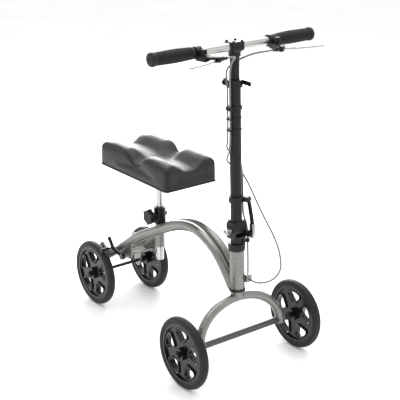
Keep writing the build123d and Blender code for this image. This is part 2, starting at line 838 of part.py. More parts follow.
# ---------------------------------------------------------------- height clamp
clamp_bolt_x = -27.0
clamp_cam_y = 18.5
with BuildPart() as height_clamp:
    add(turned(axis_plane, clamp_low, clamp_low + 8, column_r + 4.5, column_r))
    add(turned(axis_plane, clamp_low + 8, clamp_high, column_r + 4.5, column_bore))
    with BuildSketch(level(clamp_low)):
        with Locations((clamp_bolt_x, 0)):
            RectangleRounded(20, 22, 3)
        Circle(column_r + 2, mode=Mode.SUBTRACT)
    extrude(amount=clamp_high - clamp_low)
    with BuildSketch(level(clamp_low + 8.5)):
        with Locations((-25, 0)):
            Rectangle(30, 2.4)
    extrude(amount=clamp_high - clamp_low, mode=Mode.SUBTRACT)
    clamp_mid = (clamp_low + clamp_high) / 2
    with BuildSketch(Plane(origin=on_axis(clamp_bolt_x, 0, clamp_mid), z_dir=(0, -1, 0))):
        Circle(3)
    extrude(amount=20)
    with BuildSketch(Plane(origin=on_axis(clamp_bolt_x, -11, clamp_mid), z_dir=(0, -1, 0))):
        RegularPolygon(7, 6)
    extrude(amount=7)
    with BuildSketch(Plane(origin=on_axis(clamp_bolt_x, 0, clamp_mid), x_dir=axis_x_dir, z_dir=(0, 1, 0))):
        Rectangle(tongue_wide, tongue_tall)
    extrude(amount=clamp_cam_y + 4)
    with BuildSketch(level(clamp_mid - cam_half)):
        with Locations((clamp_bolt_x, clamp_cam_y)):
            Circle(cam_pin_r)
    extrude(amount=2 * cam_half)
finish(height_clamp, "height_clamp")

with BuildPart() as height_lever:
    with BuildSketch(level(clamp_mid - cam_half)):
        with Locations((clamp_bolt_x, clamp_cam_y)):
            Circle(cam_r)
    extrude(amount=2 * cam_half)
    with BuildSketch(level(clamp_mid - 6)):
        with BuildLine():
            Polyline(
                (clamp_bolt_x, 25.3), (-12, 27.5), (14, 25.5), (40, 22),
                (40, 18.5), (14, 21.8), (-10, 23), (clamp_bolt_x + 5, 18), close=True,
            )
        make_face()
    extrude(amount=12)
    add(fork((clamp_bolt_x, clamp_cam_y), clamp_mid, cam_r + fork_reach), mode=Mode.SUBTRACT)
finish(height_lever, "height_lever")

# ---------------------------------------------------------------- upper post, clamp and handlebar
post_low = 620.0
with BuildPart() as upper_post:
    add(turned(axis_plane, post_low, bar_clamp_low + 4, upper_post_r, upper_post_r - 2.5))
finish(upper_post, "upper_post")


def bar_hole(radius, half):
    with BuildPart() as hole:
        with BuildSketch(axis_side(0)):
            with Locations((0, bar_h)):
                Circle(radius)
        extrude(amount=half, both=True)
    return hole.part


with BuildPart() as bar_clamp:
    add(turned(axis_plane, bar_clamp_low - 6, bar_clamp_low + 4, 16, upper_post_r))
    add(turned(axis_plane, bar_clamp_low + 4, bar_h - bar_r - 1, 16))
    with BuildSketch(level(bar_clamp_low + 4)) as neck:
        Circle(16)
    with BuildSketch(level(bar_h - 8)) as seat:
        RectangleRounded(38, 42, 6)
    loft()
    with BuildSketch(level(bar_h - 8)):
        RectangleRounded(38, 42, 6)
    extrude(amount=7.6)
    add(bar_hole(bar_r, 60), mode=Mode.SUBTRACT)
finish(bar_clamp, "bar_clamp")

with BuildPart() as bar_clamp_cap:
    with BuildSketch(level(bar_h + 0.4)):
        RectangleRounded(38, 42, 6)
    extrude(amount=13)
    fillet(bar_clamp_cap.faces().sort_by(Axis.Z)[-1].edges(), 4)
    with BuildSketch(level(bar_h + 13)):
        with GridLocations(28, 28, 2, 2):
            RegularPolygon(3.6, 6)
    extrude(amount=4)
    add(bar_hole(bar_r, 60), mode=Mode.SUBTRACT)
finish(bar_clamp_cap, "bar_clamp_cap")

bar_half = bar_width / 2
with BuildPart() as handlebar:
    add(bar_hole(bar_r, bar_half - 4))
    add(bar_hole(bar_r - 1.8, bar_half), mode=Mode.SUBTRACT)
finish(handlebar, "handlebar")

grip_inner = 144.0
grip_r = 16.5
with BuildPart() as grips:
    for sign in (-1, 1):
        end = Plane(origin=on_axis(0, sign * grip_inner, bar_h), z_dir=(0, sign, 0))
        span = bar_half - grip_inner
        with BuildSketch(end):
            Circle(grip_r + 2)
        extrude(amount=5)
        with BuildSketch(end.offset(5)):
            Circle(grip_r)
        extrude(amount=span - 5 - 6)
        with BuildSketch(end.offset(span - 6)):
            Circle(grip_r + 1.2)
        extrude(amount=6)
        with BuildSketch(end):
            Circle(bar_r)
        extrude(amount=span - 4, mode=Mode.SUBTRACT)
finish(grips, "grips")

# ---------------------------------------------------------------- brake levers
pivot_x = 55.0
pivot_y = 112.0
slot_half = 2.5
blade_half = slot_half - body_gap
knob_at = (29.0, 121.0)
knob_low = lever_h + 7.5
barrel_x = 63.0
with BuildPart() as lever_perches:
    for sign in (-1, 1):
        with BuildSketch(axis_side(sign * 121)):
            with Locations((0, bar_h)):
                Circle(16)
        extrude(amount=9, both=True)
        with BuildSketch(level(lever_h - 7)):
            with BuildLine():
                Polyline(
                    (6, sign * 112), (6, sign * 130), (36, sign * 129), (58, sign * 121),
                    (64, sign * 114), (70, sign * 104), (70, sign * 98), (56, sign * 98),
                    (46, sign * 104), close=True,
                )
            make_face()
        extrude(amount=14)
        barrel = Plane(origin=on_axis(barrel_x, sign * 98, lever_h), z_dir=(0, -sign, 0))
        with BuildSketch(barrel):
            Circle(5.5)
        extrude(amount=12)
        with BuildSketch(barrel.offset(12)):
            Circle(4)
        extrude(amount=10)
        with BuildSketch(level(lever_h - slot_half)):
            with Locations((pivot_x, sign * pivot_y)):
                Circle(9)
            with BuildLine():
                Polyline(
                    (46, sign * 112), (52, sign * 106), (76, sign * 106), (90, sign * 136),
                    (38, sign * 136), close=True,
                )
            make_face()
        extrude(amount=2 * slot_half, mode=Mode.SUBTRACT)
        with BuildSketch(level(lever_h - slot_half)):
            with Locations((pivot_x, sign * pivot_y)):
                Circle(3)
        extrude(amount=2 * slot_half)
        with BuildSketch(level(lever_h + 7)):
            with Locations(knob_at[0:1] + (sign * knob_at[1],)):
                Circle(3 + body_gap)
        extrude(amount=-11, mode=Mode.SUBTRACT)
    add(bar_hole(bar_r, 200), mode=Mode.SUBTRACT)
finish(lever_perches, "lever_perches")

for hand, sign in (("right", -1), ("left", 1)):
    with BuildPart() as brake_lever:
        with BuildSketch(level(lever_h - blade_half)):
            with Locations((pivot_x, sign * pivot_y)):
                Circle(7)
            add(strip([(pivot_x, sign * pivot_y), (68, sign * 122), (80, sign * 142)], 10))
            add(strip([(80, sign * 142), (90, sign * 172), (98, sign * 206)], 12))
            with Locations((99, sign * 211)):
                Circle(7)
            with Locations((pivot_x, sign * pivot_y)):
                Circle(3 + running_gap, mode=Mode.SUBTRACT)
        extrude(amount=2 * blade_half)
    finish(brake_lever, "brake_lever_" + hand)
    with BuildPart() as lock_knob:
        with BuildSketch(level(knob_low + 3)):
            with Locations((knob_at[0], sign * knob_at[1])):
                Circle(8)
        extrude(amount=13)
        fillet(lock_knob.faces().sort_by(Axis.Z)[-1].edges(), 3)
        with BuildSketch(level(lever_h + 3.6)):
            with Locations((knob_at[0], sign * knob_at[1])):
                Circle(3)
        extrude(amount=knob_low + 3 - lever_h - 3.6)
    finish(lock_knob, "lock_knob_" + hand)

# ---------------------------------------------------------------- cable guide on the head tube
with BuildPart() as cable_guide:
    with Locations((291, 23.5, 261)):
        Box(22, 19, 22)
    fillet(cable_guide.edges().filter_by(Axis.Z), 2)
    add(head_solid, mode=Mode.SUBTRACT)
finish(cable_guide, "cable_guide")


def axis_points(points):
    return [tuple(on_axis(*p)) for p in points]


# lever to guide ring and down the column, then round its back to its left side
cable(axis_points([
    (63, -76, 891), (63, -52, 891), (45, -34, 884), (18, -28, 862),
    (8, -23.5, 826), (8, -23.5, 634), (-5, -24.5, 610), (-20, -15, 594), (-25, 2, 580), (-18, 20, 566),
    (-4, 31, 550), (9, 33, 532),
]), cable_r, "cable_right_upper")
cable(axis_points([
    (63, 76, 891), (63, 52, 891), (42, 34, 886), (8, 24, 872), (-15, 12, 858),
    (-20, -8, 845), (-9, -22.5, 830), (-2, -23.5, 806), (-2, -23.5, 656), (-14, -20, 636),
    (-24, -4, 618), (-19, 15, 600), (-6, 24.5, 580), (-2.5, 25, 548), (-2.5, 25, 465),
]), cable_r, "cable_left_upper")
# the free loop in front, in two lengths that meet at its outermost point
cable([
    tuple(on_axis(9, 33, 532)), tuple(on_axis(22, 35, 514)), (308, 39, 484), (335, 48, 438),
    (362, 56, 398), (381, 59.5, 362), (386, 60, 340),
], cable_r, "cable_right_loop_upper")
cable([
    (386, 60, 340), (391, 60.5, 318), (384, 55, 291), (364, 44, 268), (336, 32, 256),
    (318, 26, 256), (302, 26, 256),
], cable_r, "cable_right_loop_lower")
# past the hinge, and down the front of the head tube
cable(axis_points([(-2.5, 25, 465), (-2.5, 25, 443), (8, 25.5, 422), (17, 25, 402), (17, 25, 377)]),
      cable_r, "cable_left_hinge")
cable([tuple(on_axis(17, 25, 366)), tuple(on_axis(17, 25, 340)), (297, 22, 305), (297, 22, 272)],
      cable_r, "cable_left_neck")



def half_turn(start, along, end):
    """Corners of a round half turn that leaves start in the given direction and comes back at end."""
    across = end - start
    across = across - along * across.dot(along)
    radius = across.length / 2
    centre = start + across * 0.5
    out = across.normalized()
    reach = radius / math.cos(math.radians(22.5))
    corners = []
    for angle in (-67.5, -22.5, 22.5, 67.5):
        turn = math.radians(angle)
        corners.append(tuple(centre + (along * math.cos(turn) + out * math.sin(turn)) * reach))
    return corners


# under the spine to the rear brakes
for hand, sign, low in (("right", -1, 0), ("left", 1, 1)):
    lane = 4.6 * sign
    arm_tip = Vector(brake_end[0], sign * brake_arm_y, brake_end[1])
    stop_end = arm_tip + pull * stop_far
    route = [
        (280, 29.5, 254 + 12 * low),
        (256, 30, 252 + 12 * low),
        (228, 25 + 7 * low, 236 + 4 * low),
        (205, lane + 6, 254),
        (182, lane, 294),
        (144, lane, 324),
        (90, lane, 337),
        (24, lane, 326),
        (-34, sign * 9.5, 302),
        (-88, sign * 20, 274),
        (-150, sign * 23, 238),
        (-205, sign * 17.5, 195),
        (-240, sign * 17, 184),
        (-272, sign * 24, 162),
        *half_turn(Vector(-296, sign * 34, 142), pull, stop_end + pull * 8),
        tuple(stop_end),
    ]
    cable(route, cable_r, "cable_frame_" + hand)
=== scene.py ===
"""Finish and soft parts of a folding knee scooter, built over its fixed CAD frame."""

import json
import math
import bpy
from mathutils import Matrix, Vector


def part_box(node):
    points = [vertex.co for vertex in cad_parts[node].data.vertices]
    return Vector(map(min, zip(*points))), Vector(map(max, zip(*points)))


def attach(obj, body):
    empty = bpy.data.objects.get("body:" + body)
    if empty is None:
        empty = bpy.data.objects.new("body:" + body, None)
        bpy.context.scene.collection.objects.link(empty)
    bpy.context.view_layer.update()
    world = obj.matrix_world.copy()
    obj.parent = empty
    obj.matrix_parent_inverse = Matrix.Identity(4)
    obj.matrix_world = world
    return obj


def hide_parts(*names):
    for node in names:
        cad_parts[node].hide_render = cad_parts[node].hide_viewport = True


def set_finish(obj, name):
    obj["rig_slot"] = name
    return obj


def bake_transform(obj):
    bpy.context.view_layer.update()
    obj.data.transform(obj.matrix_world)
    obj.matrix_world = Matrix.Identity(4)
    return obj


bl_info = {
    "name": "Knee Scooter Finish",
    "version": (1, 0, 0),
    "blender": (4, 5, 0),
    "location": "3D View > Sidebar > Knee Scooter",
    "description": "Upholstery, rubber, cables, weld beads and materials for a knee scooter",
    "category": "Object",
}

import bmesh
import bpy
from mathutils import Vector, noise
from mathutils.bvhtree import BVHTree

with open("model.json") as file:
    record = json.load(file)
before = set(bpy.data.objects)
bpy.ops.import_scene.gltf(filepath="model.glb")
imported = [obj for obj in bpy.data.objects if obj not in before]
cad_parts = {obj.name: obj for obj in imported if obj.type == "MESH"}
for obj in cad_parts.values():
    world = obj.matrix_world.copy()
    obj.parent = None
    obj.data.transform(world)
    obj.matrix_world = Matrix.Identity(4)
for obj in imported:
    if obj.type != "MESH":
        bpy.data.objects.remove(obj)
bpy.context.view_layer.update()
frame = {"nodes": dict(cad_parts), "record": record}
MM = 0.001

# the steering axis leans back two degrees and meets the floor here
LEAN = math.radians(2.0)
AXIS_FOOT = Vector((286.2, 0, 0)) * MM
AXIS_FORWARD = Vector((math.cos(LEAN), 0, math.sin(LEAN)))
AXIS_UP = Vector((-math.sin(LEAN), 0, math.cos(LEAN)))


def on_stem(x, y, height):
    """A point given in mm beside and along the leaning steering axis."""
    return AXIS_FOOT + (AXIS_FORWARD * x + Vector((0, y, 0)) + AXIS_UP * height) * MM


# ------------------------------------------------------------------ colour and nodes


def linear(hex_colour):
    """sRGB hex to the linear RGBA that Blender's shaders take."""
    value = hex_colour.lstrip("#")
    channels = []
    for start in (0, 2, 4):
        c = int(value[start : start + 2], 16) / 255
        channels.append(c / 12.92 if c <= 0.04045 else ((c + 0.055) / 1.055) ** 2.4)
    return (*channels, 1.0)


def add_node(tree, kind, settings=None, links=None):
    """Adds a node. Settings are its properties or sockets, and links feed its sockets."""
    node = tree.nodes.new(kind)
    for key, value in (settings or {}).items():
        if isinstance(key, int) or key in node.inputs:
            node.inputs[key].default_value = value
        else:
            setattr(node, key, value)
    for key, (source, output) in (links or {}).items():
        tree.links.new(source.outputs[output], node.inputs[key])
    return node


def start_material(name, settings):
    """An empty node material with one surface shader, which takes the settings."""
    material = bpy.data.materials.new(name)
    material.use_nodes = True
    tree = material.node_tree
    tree.nodes.clear()
    shader = add_node(tree, "ShaderNodeBsdfPrincipled", settings)
    add_node(tree, "ShaderNodeOutputMaterial", links={"Surface": (shader, "BSDF")})
    return material, tree, shader


def per_mm(size_mm):
    """Texture scale that repeats once in this many millimetres."""
    return 1000.0 / size_mm


# ------------------------------------------------------------------ materials


def pattern(tree, kind, size_mm, settings=None):
    """A texture node in object space whose pattern repeats once in size_mm."""
    place = add_node(tree, "ShaderNodeTexCoord")
    return add_node(
        tree, kind, {"Scale": per_mm(size_mm), **(settings or {})}, {"Vector": (place, "Object")}
    )


def noise_pattern(tree, size_mm, detail, settings=None):
    """Cloudy noise in patches of size_mm."""
    return pattern(tree, "ShaderNodeTexNoise", size_mm, {"Detail": detail, **(settings or {})})


def line_pattern(tree, size_mm, detail):
    """Noise drawn out into lines, with one size in mm for each axis."""
    place = add_node(tree, "ShaderNodeTexCoord")
    stretch = add_node(
        tree, "ShaderNodeMapping",
        {"Scale": tuple(per_mm(size) for size in size_mm)}, {"Vector": (place, "Object")},
    )
    return add_node(
        tree, "ShaderNodeTexNoise", {"Scale": 1.0, "Detail": detail},
        {"Vector": (stretch, "Vector")},
    )


def colour_ramp(tree, source, low, high, start=0.0, stop=1.0):
    """Colour from low to high as the source, a (node, output) pair, goes from start to stop."""
    ramp = add_node(tree, "ShaderNodeValToRGB", links={"Fac": source})
    ramp.color_ramp.elements[0].position = start
    ramp.color_ramp.elements[0].color = linear(low)
    ramp.color_ramp.elements[1].position = stop
    ramp.color_ramp.elements[1].color = linear(high)
    return ramp


def vary_colour(tree, shader, source, low, high, start=0.0, stop=1.0):
    """Vary the shader's base colour with the source."""
    ramp = colour_ramp(tree, source, low, high, start, stop)
    tree.links.new(ramp.outputs["Color"], shader.inputs["Base Color"])


def vary_roughness(tree, shader, source, low, high):
    """Vary the shader's roughness with the source."""
    gloss = add_node(
        tree, "ShaderNodeMapRange", {"To Min": low, "To Max": high}, {"Value": source}
    )
    tree.links.new(gloss.outputs["Result"], shader.inputs["Roughness"])


def raise_surface(tree, shader, source, strength, depth_mm, invert=False):
    """Emboss the source into the surface."""
    bump = add_node(
        tree, "ShaderNodeBump",
        {"Strength": strength, "Distance": depth_mm * MM, "invert": invert}, {"Height": source},
    )
    tree.links.new(bump.outputs["Normal"], shader.inputs["Normal"])


def sprayed_gunmetal_enamel(colours):
    """Gunmetal metallic enamel sprayed on welded steel tube."""
    # fine metal flake under a clear coat: a soft grey sheen with a slight orange peel
    material, tree, shader = start_material(
        "sprayed_gunmetal_enamel",
        {"Metallic": 0.72, "Coat Weight": 0.55, "Coat Roughness": 0.12},
    )
    # real flake is about 0.1 mm, drawn at 1.2 mm so that it shows
    flake = pattern(tree, "ShaderNodeTexVoronoi", 1.2, {"feature": "F1"})
    cloud = noise_pattern(tree, 70, 3.0)
    ramp = colour_ramp(tree, (flake, "Color"), colours.enamel_low, colours.enamel_high)
    tone = add_node(
        tree, "ShaderNodeMix",
        {"data_type": "RGBA", "blend_type": "MULTIPLY", "Factor": 0.25},
        {"A": (ramp, "Color"), "B": (cloud, "Fac")},
    )
    tree.links.new(tone.outputs["Result"], shader.inputs["Base Color"])
    vary_roughness(tree, shader, (cloud, "Fac"), 0.27, 0.40)
    # orange peel of sprayed enamel, waves about 3 mm long
    peel = noise_pattern(tree, 3.0, 1.0)
    raise_surface(tree, shader, (peel, "Fac"), 0.06, 0.6)
    return material


def baked_black_powder_coat(colours):
    """Black polyester powder baked on steel and cast parts."""
    # satin black with the fine pebble that powder leaves
    material, tree, shader = start_material(
        "baked_black_powder_coat", {"IOR": 1.5, "Specular IOR Level": 0.3}
    )
    pebble = noise_pattern(tree, 1.6, 2.0)
    rub = noise_pattern(tree, 24, 5.0, {"Roughness": 0.6})
    vary_colour(tree, shader, (rub, "Fac"), colours.powder_low, colours.powder_high, 0.35, 0.75)
    vary_roughness(tree, shader, (rub, "Fac"), 0.30, 0.46)
    raise_surface(tree, shader, (pebble, "Fac"), 0.12, 0.4)
    return material


def bright_chrome_plate(colours):
    """Nickel and chrome plated on polished steel."""
    # mirror-like, with faint wipe marks in its gloss
    material, tree, shader = start_material("bright_chrome_plate", {"Metallic": 1.0})
    shader.inputs["Base Color"].default_value = linear(colours.chrome)
    wipe = noise_pattern(tree, 18, 4.0)
    vary_roughness(tree, shader, (wipe, "Fac"), 0.12, 0.28)
    return material


def brushed_aluminium(colours):
    """Aluminium tube and forgings, brushed along their length and left clear."""
    # fine lines along the bar that widen the highlights
    material, tree, shader = start_material("brushed_aluminium", {"Metallic": 1.0})
    # brush lines are about 0.2 mm apart, drawn at 1 mm, and run 40 mm along Y
    lines = line_pattern(tree, (1.0, 40, 1.0), 3.0)
    vary_colour(tree, shader, (lines, "Fac"), colours.aluminium_low, colours.aluminium_high)
    vary_roughness(tree, shader, (lines, "Fac"), 0.26, 0.42)
    raise_surface(tree, shader, (lines, "Fac"), 0.08, 0.3)
    return material


def drawn_steel_tube(colours):
    """Dark steel tube, cold drawn and lacquered."""
    # darker than the frame, with draw lines along the axle
    material, tree, shader = start_material(
        "drawn_steel_tube", {"Metallic": 0.85, "Coat Weight": 0.3, "Coat Roughness": 0.2}
    )
    lines = line_pattern(tree, (1.5, 60, 1.5), 2.0)
    vary_colour(tree, shader, (lines, "Fac"), colours.axle_low, colours.axle_high)
    vary_roughness(tree, shader, (lines, "Fac"), 0.30, 0.45)
    return material


def moulded_gloss_nylon(colours):
    """Glass-filled nylon, injection moulded in a polished tool."""
    # deep gloss black, a little wavy where the wall thickness changes
    material, tree, shader = start_material(
        "moulded_gloss_nylon", {"IOR": 1.53, "Specular IOR Level": 0.38}
    )
    flow = noise_pattern(tree, 14, 2.0, {"Distortion": 0.6})
    vary_colour(tree, shader, (flow, "Fac"), colours.nylon_low, colours.nylon_high)
    vary_roughness(tree, shader, (flow, "Fac"), 0.16, 0.30)
    raise_surface(tree, shader, (flow, "Fac"), 0.08, 0.8)
    return material


def moulded_matte_nylon(colours):
    """Nylon knobs and clips, moulded in a spark-eroded tool."""
    # dull black with an even fine grain
    material, tree, shader = start_material(
        "moulded_matte_nylon", {"IOR": 1.53, "Specular IOR Level": 0.3}
    )
    # spark erosion leaves pits of about 0.2 mm, drawn at 0.8 mm
    grain = pattern(tree, "ShaderNodeTexVoronoi", 0.8)
    vary_colour(tree, shader, (grain, "Distance"), colours.nylon_high, colours.nylon_low)
    vary_roughness(tree, shader, (grain, "Distance"), 0.42, 0.6)
    raise_surface(tree, shader, (grain, "Distance"), 0.2, 0.3)
    return material


def cast_polyurethane(colours):
    """Solid polyurethane tyre, cast on the wheel."""
    # charcoal, with dust in random patches over the whole tyre
    material, tree, shader = start_material(
        "cast_polyurethane", {"IOR": 1.48, "Specular IOR Level": 0.3}
    )
    dust = noise_pattern(tree, 9, 6.0, {"Roughness": 0.65})
    vary_colour(tree, shader, (dust, "Fac"), colours.tyre_low, colours.tyre_high, 0.3, 0.75)
    vary_roughness(tree, shader, (dust, "Fac"), 0.42, 0.62)
    raise_surface(tree, shader, (dust, "Fac"), 0.15, 0.4)
    return material


def moulded_grip_rubber(colours):
    """Soft PVC rubber grip, moulded with a diamond texture."""
    # near black, with a painted highlight on the raised diamonds and painted shade in the grooves
    material, tree, shader = start_material(
        "moulded_grip_rubber", {"IOR": 1.5, "Specular IOR Level": 0.3}
    )
    # diamonds of 3 mm
    diamonds = pattern(tree, "ShaderNodeTexVoronoi", 3.0, {"distance": "MANHATTAN"})
    # colour is painted lighter on the raised diamonds as a highlight and darker in the grooves as
    # shade
    vary_colour(tree, shader, (diamonds, "Distance"), colours.grip_high, colours.grip_low)
    raise_surface(tree, shader, (diamonds, "Distance"), 0.45, 0.8, invert=True)
    shader.inputs["Roughness"].default_value = 0.55
    return material


def embossed_vinyl(colours):
    """Black upholstery vinyl, embossed with a leather grain and stretched over foam."""
    # glossy skin that shines broadly on top, with pebbles and fine stretch lines
    material, tree, shader = start_material(
        "embossed_vinyl", {"IOR": 1.54, "Specular IOR Level": 0.34}
    )
    # grain pebbles are about 1 mm, drawn at 2.2 mm so that they show
    pebbles = pattern(tree, "ShaderNodeTexVoronoi", 2.2, {"feature": "DISTANCE_TO_EDGE"})
    creases = noise_pattern(tree, 7, 5.0, {"Roughness": 0.6})
    height = add_node(
        tree, "ShaderNodeMath", {"operation": "MULTIPLY_ADD", 1: 0.7},
        {0: (pebbles, "Distance"), 2: (creases, "Fac")},
    )
    raise_surface(tree, shader, (height, "Value"), 0.22, 0.7)
    vary_colour(tree, shader, (creases, "Fac"), colours.vinyl_low, colours.vinyl_high)
    vary_roughness(tree, shader, (creases, "Fac"), 0.35, 0.49)
    return material


def painted_plywood(colours):
    """Seat board of birch plywood, painted black on its cut faces."""
    # dull paint with the wood's long grain showing through
    material, tree, shader = start_material("painted_plywood", {"IOR": 1.5})
    # grain lines 2 mm apart and 50 mm long, along the board
    fibres = line_pattern(tree, (50, 2, 2), 4.0)
    vary_colour(tree, shader, (fibres, "Fac"), colours.board_low, colours.board_high)
    raise_surface(tree, shader, (fibres, "Fac"), 0.25, 0.4)
    shader.inputs["Roughness"].default_value = 0.7
    return material


def extruded_cable_sheath(colours):
    """PVC outer cable, extruded over a steel coil."""
    # smooth grey, cloudy along its length
    material, tree, shader = start_material(
        "extruded_cable_sheath", {"IOR": 1.53, "Coat Weight": 0.2, "Coat Roughness": 0.2}
    )
    tint = noise_pattern(tree, 12, 3.0)
    vary_colour(tree, shader, (tint, "Fac"), colours.sheath_low, colours.sheath_high)
    vary_roughness(tree, shader, (tint, "Fac"), 0.30, 0.45)
    return material


def spun_bond_lining(colours):
    """Spun-bonded polyester lining stapled under the pad."""
    # flat black felt with random fibres
    material, tree, shader = start_material(
        "spun_bond_lining", {"Sheen Weight": 0.3, "Sheen Roughness": 0.5, "Roughness": 0.9}
    )
    fibres = noise_pattern(tree, 1.5, 8.0, {"Distortion": 1.5})
    vary_colour(tree, shader, (fibres, "Fac"), colours.vinyl_low, colours.board_high)
    raise_surface(tree, shader, (fibres, "Fac"), 0.4, 0.4)
    return material


def studio_paper(colours):
    """Matte white paper sweep."""
    # even and pale, with a barely seen tooth
    material, tree, shader = start_material("studio_paper", {"Roughness": 0.9, "IOR": 1.35})
    tooth = noise_pattern(tree, 300, 2.0)
    vary_colour(tree, shader, (tooth, "Fac"), colours.paper_low, colours.paper_high)
    return material


# each material slot of the record, and the finish that it has
FINISHES = {
    "frame_paint": sprayed_gunmetal_enamel,
    "black_paint": baked_black_powder_coat,
    "axle_steel": drawn_steel_tube,
    "bright_steel": bright_chrome_plate,
    "bar_metal": brushed_aluminium,
    "wheel_plastic": moulded_gloss_nylon,
    "black_plastic": moulded_matte_nylon,
    "tyre_rubber": cast_polyurethane,
    "grip_rubber": moulded_grip_rubber,
    "pad_vinyl": embossed_vinyl,
    "pad_board": painted_plywood,
    "cable_sheath": extruded_cable_sheath,
}

# parts whose finish differs from the rest of their slot
OWN_FINISH = {
    "cable_guide": sprayed_gunmetal_enamel,
    "front_axle_bolts": baked_black_powder_coat,
}


def finish_for(maker):
    """The material that a maker function gives, made once."""
    found = bpy.data.materials.get(maker.__name__)
    return found or maker(bpy.context.scene.scooter_colours)


# ------------------------------------------------------------------ mesh helpers


def new_piece(name, vertices, faces, maker, slot, sharp_degrees=40):
    """A smooth-shaded mesh object with one material, not yet riding on a body."""
    mesh = bpy.data.meshes.new(name)
    mesh.from_pydata([tuple(v) for v in vertices], [], faces)
    mesh.validate()
    mesh.update()
    mesh.shade_smooth()
    mesh.set_sharp_from_angle(angle=math.radians(sharp_degrees))
    mesh.materials.append(finish_for(maker))
    piece = bpy.data.objects.new(name, mesh)
    bpy.context.scene.collection.objects.link(piece)
    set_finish(piece, slot)
    return piece


def turned_mesh(profile, centre, axis, segments=96):
    """Vertices and faces of a closed profile of (along, radius) turned round an axis."""
    axis = Vector(axis).normalized()
    across = axis.orthogonal().normalized()
    third = axis.cross(across)
    vertices, faces = [], []
    count = len(profile)
    for step in range(segments):
        angle = math.tau * step / segments
        spoke = across * math.cos(angle) + third * math.sin(angle)
        for along, radius in profile:
            vertices.append(Vector(centre) + axis * along + spoke * radius)
    for step in range(segments):
        here, there = step * count, (step + 1) % segments * count
        for k in range(count):
            following = (k + 1) % count
            faces.append((here + k, there + k, there + following, here + following))
    return vertices, faces


def tube_mesh(points, radii, sides=14, closed=False):
    """Vertices and faces of a tube that follows the points, with its own radius at each."""
    vertices, faces = [], []
    count = len(points)
    normal = None
    for k, point in enumerate(points):
        before = points[k - 1] if k or closed else point
        after = points[(k + 1) % count] if k < count - 1 or closed else point
        ahead = (after - before).normalized()
        if normal is None:
            normal = ahead.orthogonal().normalized()
        normal = (normal - ahead * normal.dot(ahead)).normalized()
        side = ahead.cross(normal)
        for s in range(sides):
            angle = math.tau * s / sides
            vertices.append(point + (normal * math.cos(angle) + side * math.sin(angle)) * radii[k])
    for k in range(count if closed else count - 1):
        here, there = k * sides, (k + 1) % count * sides
        for s in range(sides):
            following = (s + 1) % sides
            faces.append((here + s, here + following, there + following, there + s))
    if not closed:
        faces.append(tuple(range(sides))[::-1])
        faces.append(tuple((count - 1) * sides + s for s in range(sides)))
    return vertices, faces


def smooth_route(route):
    """Points along the smooth spline that has the route as its control points."""
    data = bpy.data.curves.new("route", "CURVE")
    data.dimensions = "3D"
    data.resolution_u = 10
    spline = data.splines.new("NURBS")
    spline.points.add(len(route) - 1)
    for point, place in zip(spline.points, route):
        point.co = (*place, 1.0)
    spline.order_u = 3
    spline.use_endpoint_u = True
    holder = bpy.data.objects.new("route", data)
    bpy.context.scene.collection.objects.link(holder)
    bpy.context.view_layer.update()
    graph = bpy.context.evaluated_depsgraph_get()
    mesh = bpy.data.meshes.new_from_object(holder.evaluated_get(graph))
    points = [v.co.copy() for v in mesh.vertices]
    bpy.data.objects.remove(holder)
    bpy.data.curves.remove(data)
    bpy.data.meshes.remove(mesh)
    return points


def spaced(points, step, closed=False):
    """The same line with its points an even step apart."""
    chain = points + [points[0]] if closed else points
    total = sum((b - a).length for a, b in zip(chain, chain[1:]))
    count = max(4, round(total / step))
    found, walked, k = [chain[0].copy()], 0.0, 0
    for n in range(1, count):
        target = total * n / count
        while walked + (chain[k + 1] - chain[k]).length < target:
            walked += (chain[k + 1] - chain[k]).length
            k += 1
        run = chain[k + 1] - chain[k]
        found.append(chain[k] + run * ((target - walked) / run.length))
    if not closed:
        found.append(chain[-1].copy())
    return found


def ease(value, low, high):
    """Smooth step from 0 at low to 1 at high."""
    t = min(1.0, max(0.0, (value - low) / (high - low)))
    return t * t * (3 - 2 * t)


# ------------------------------------------------------------------ settings


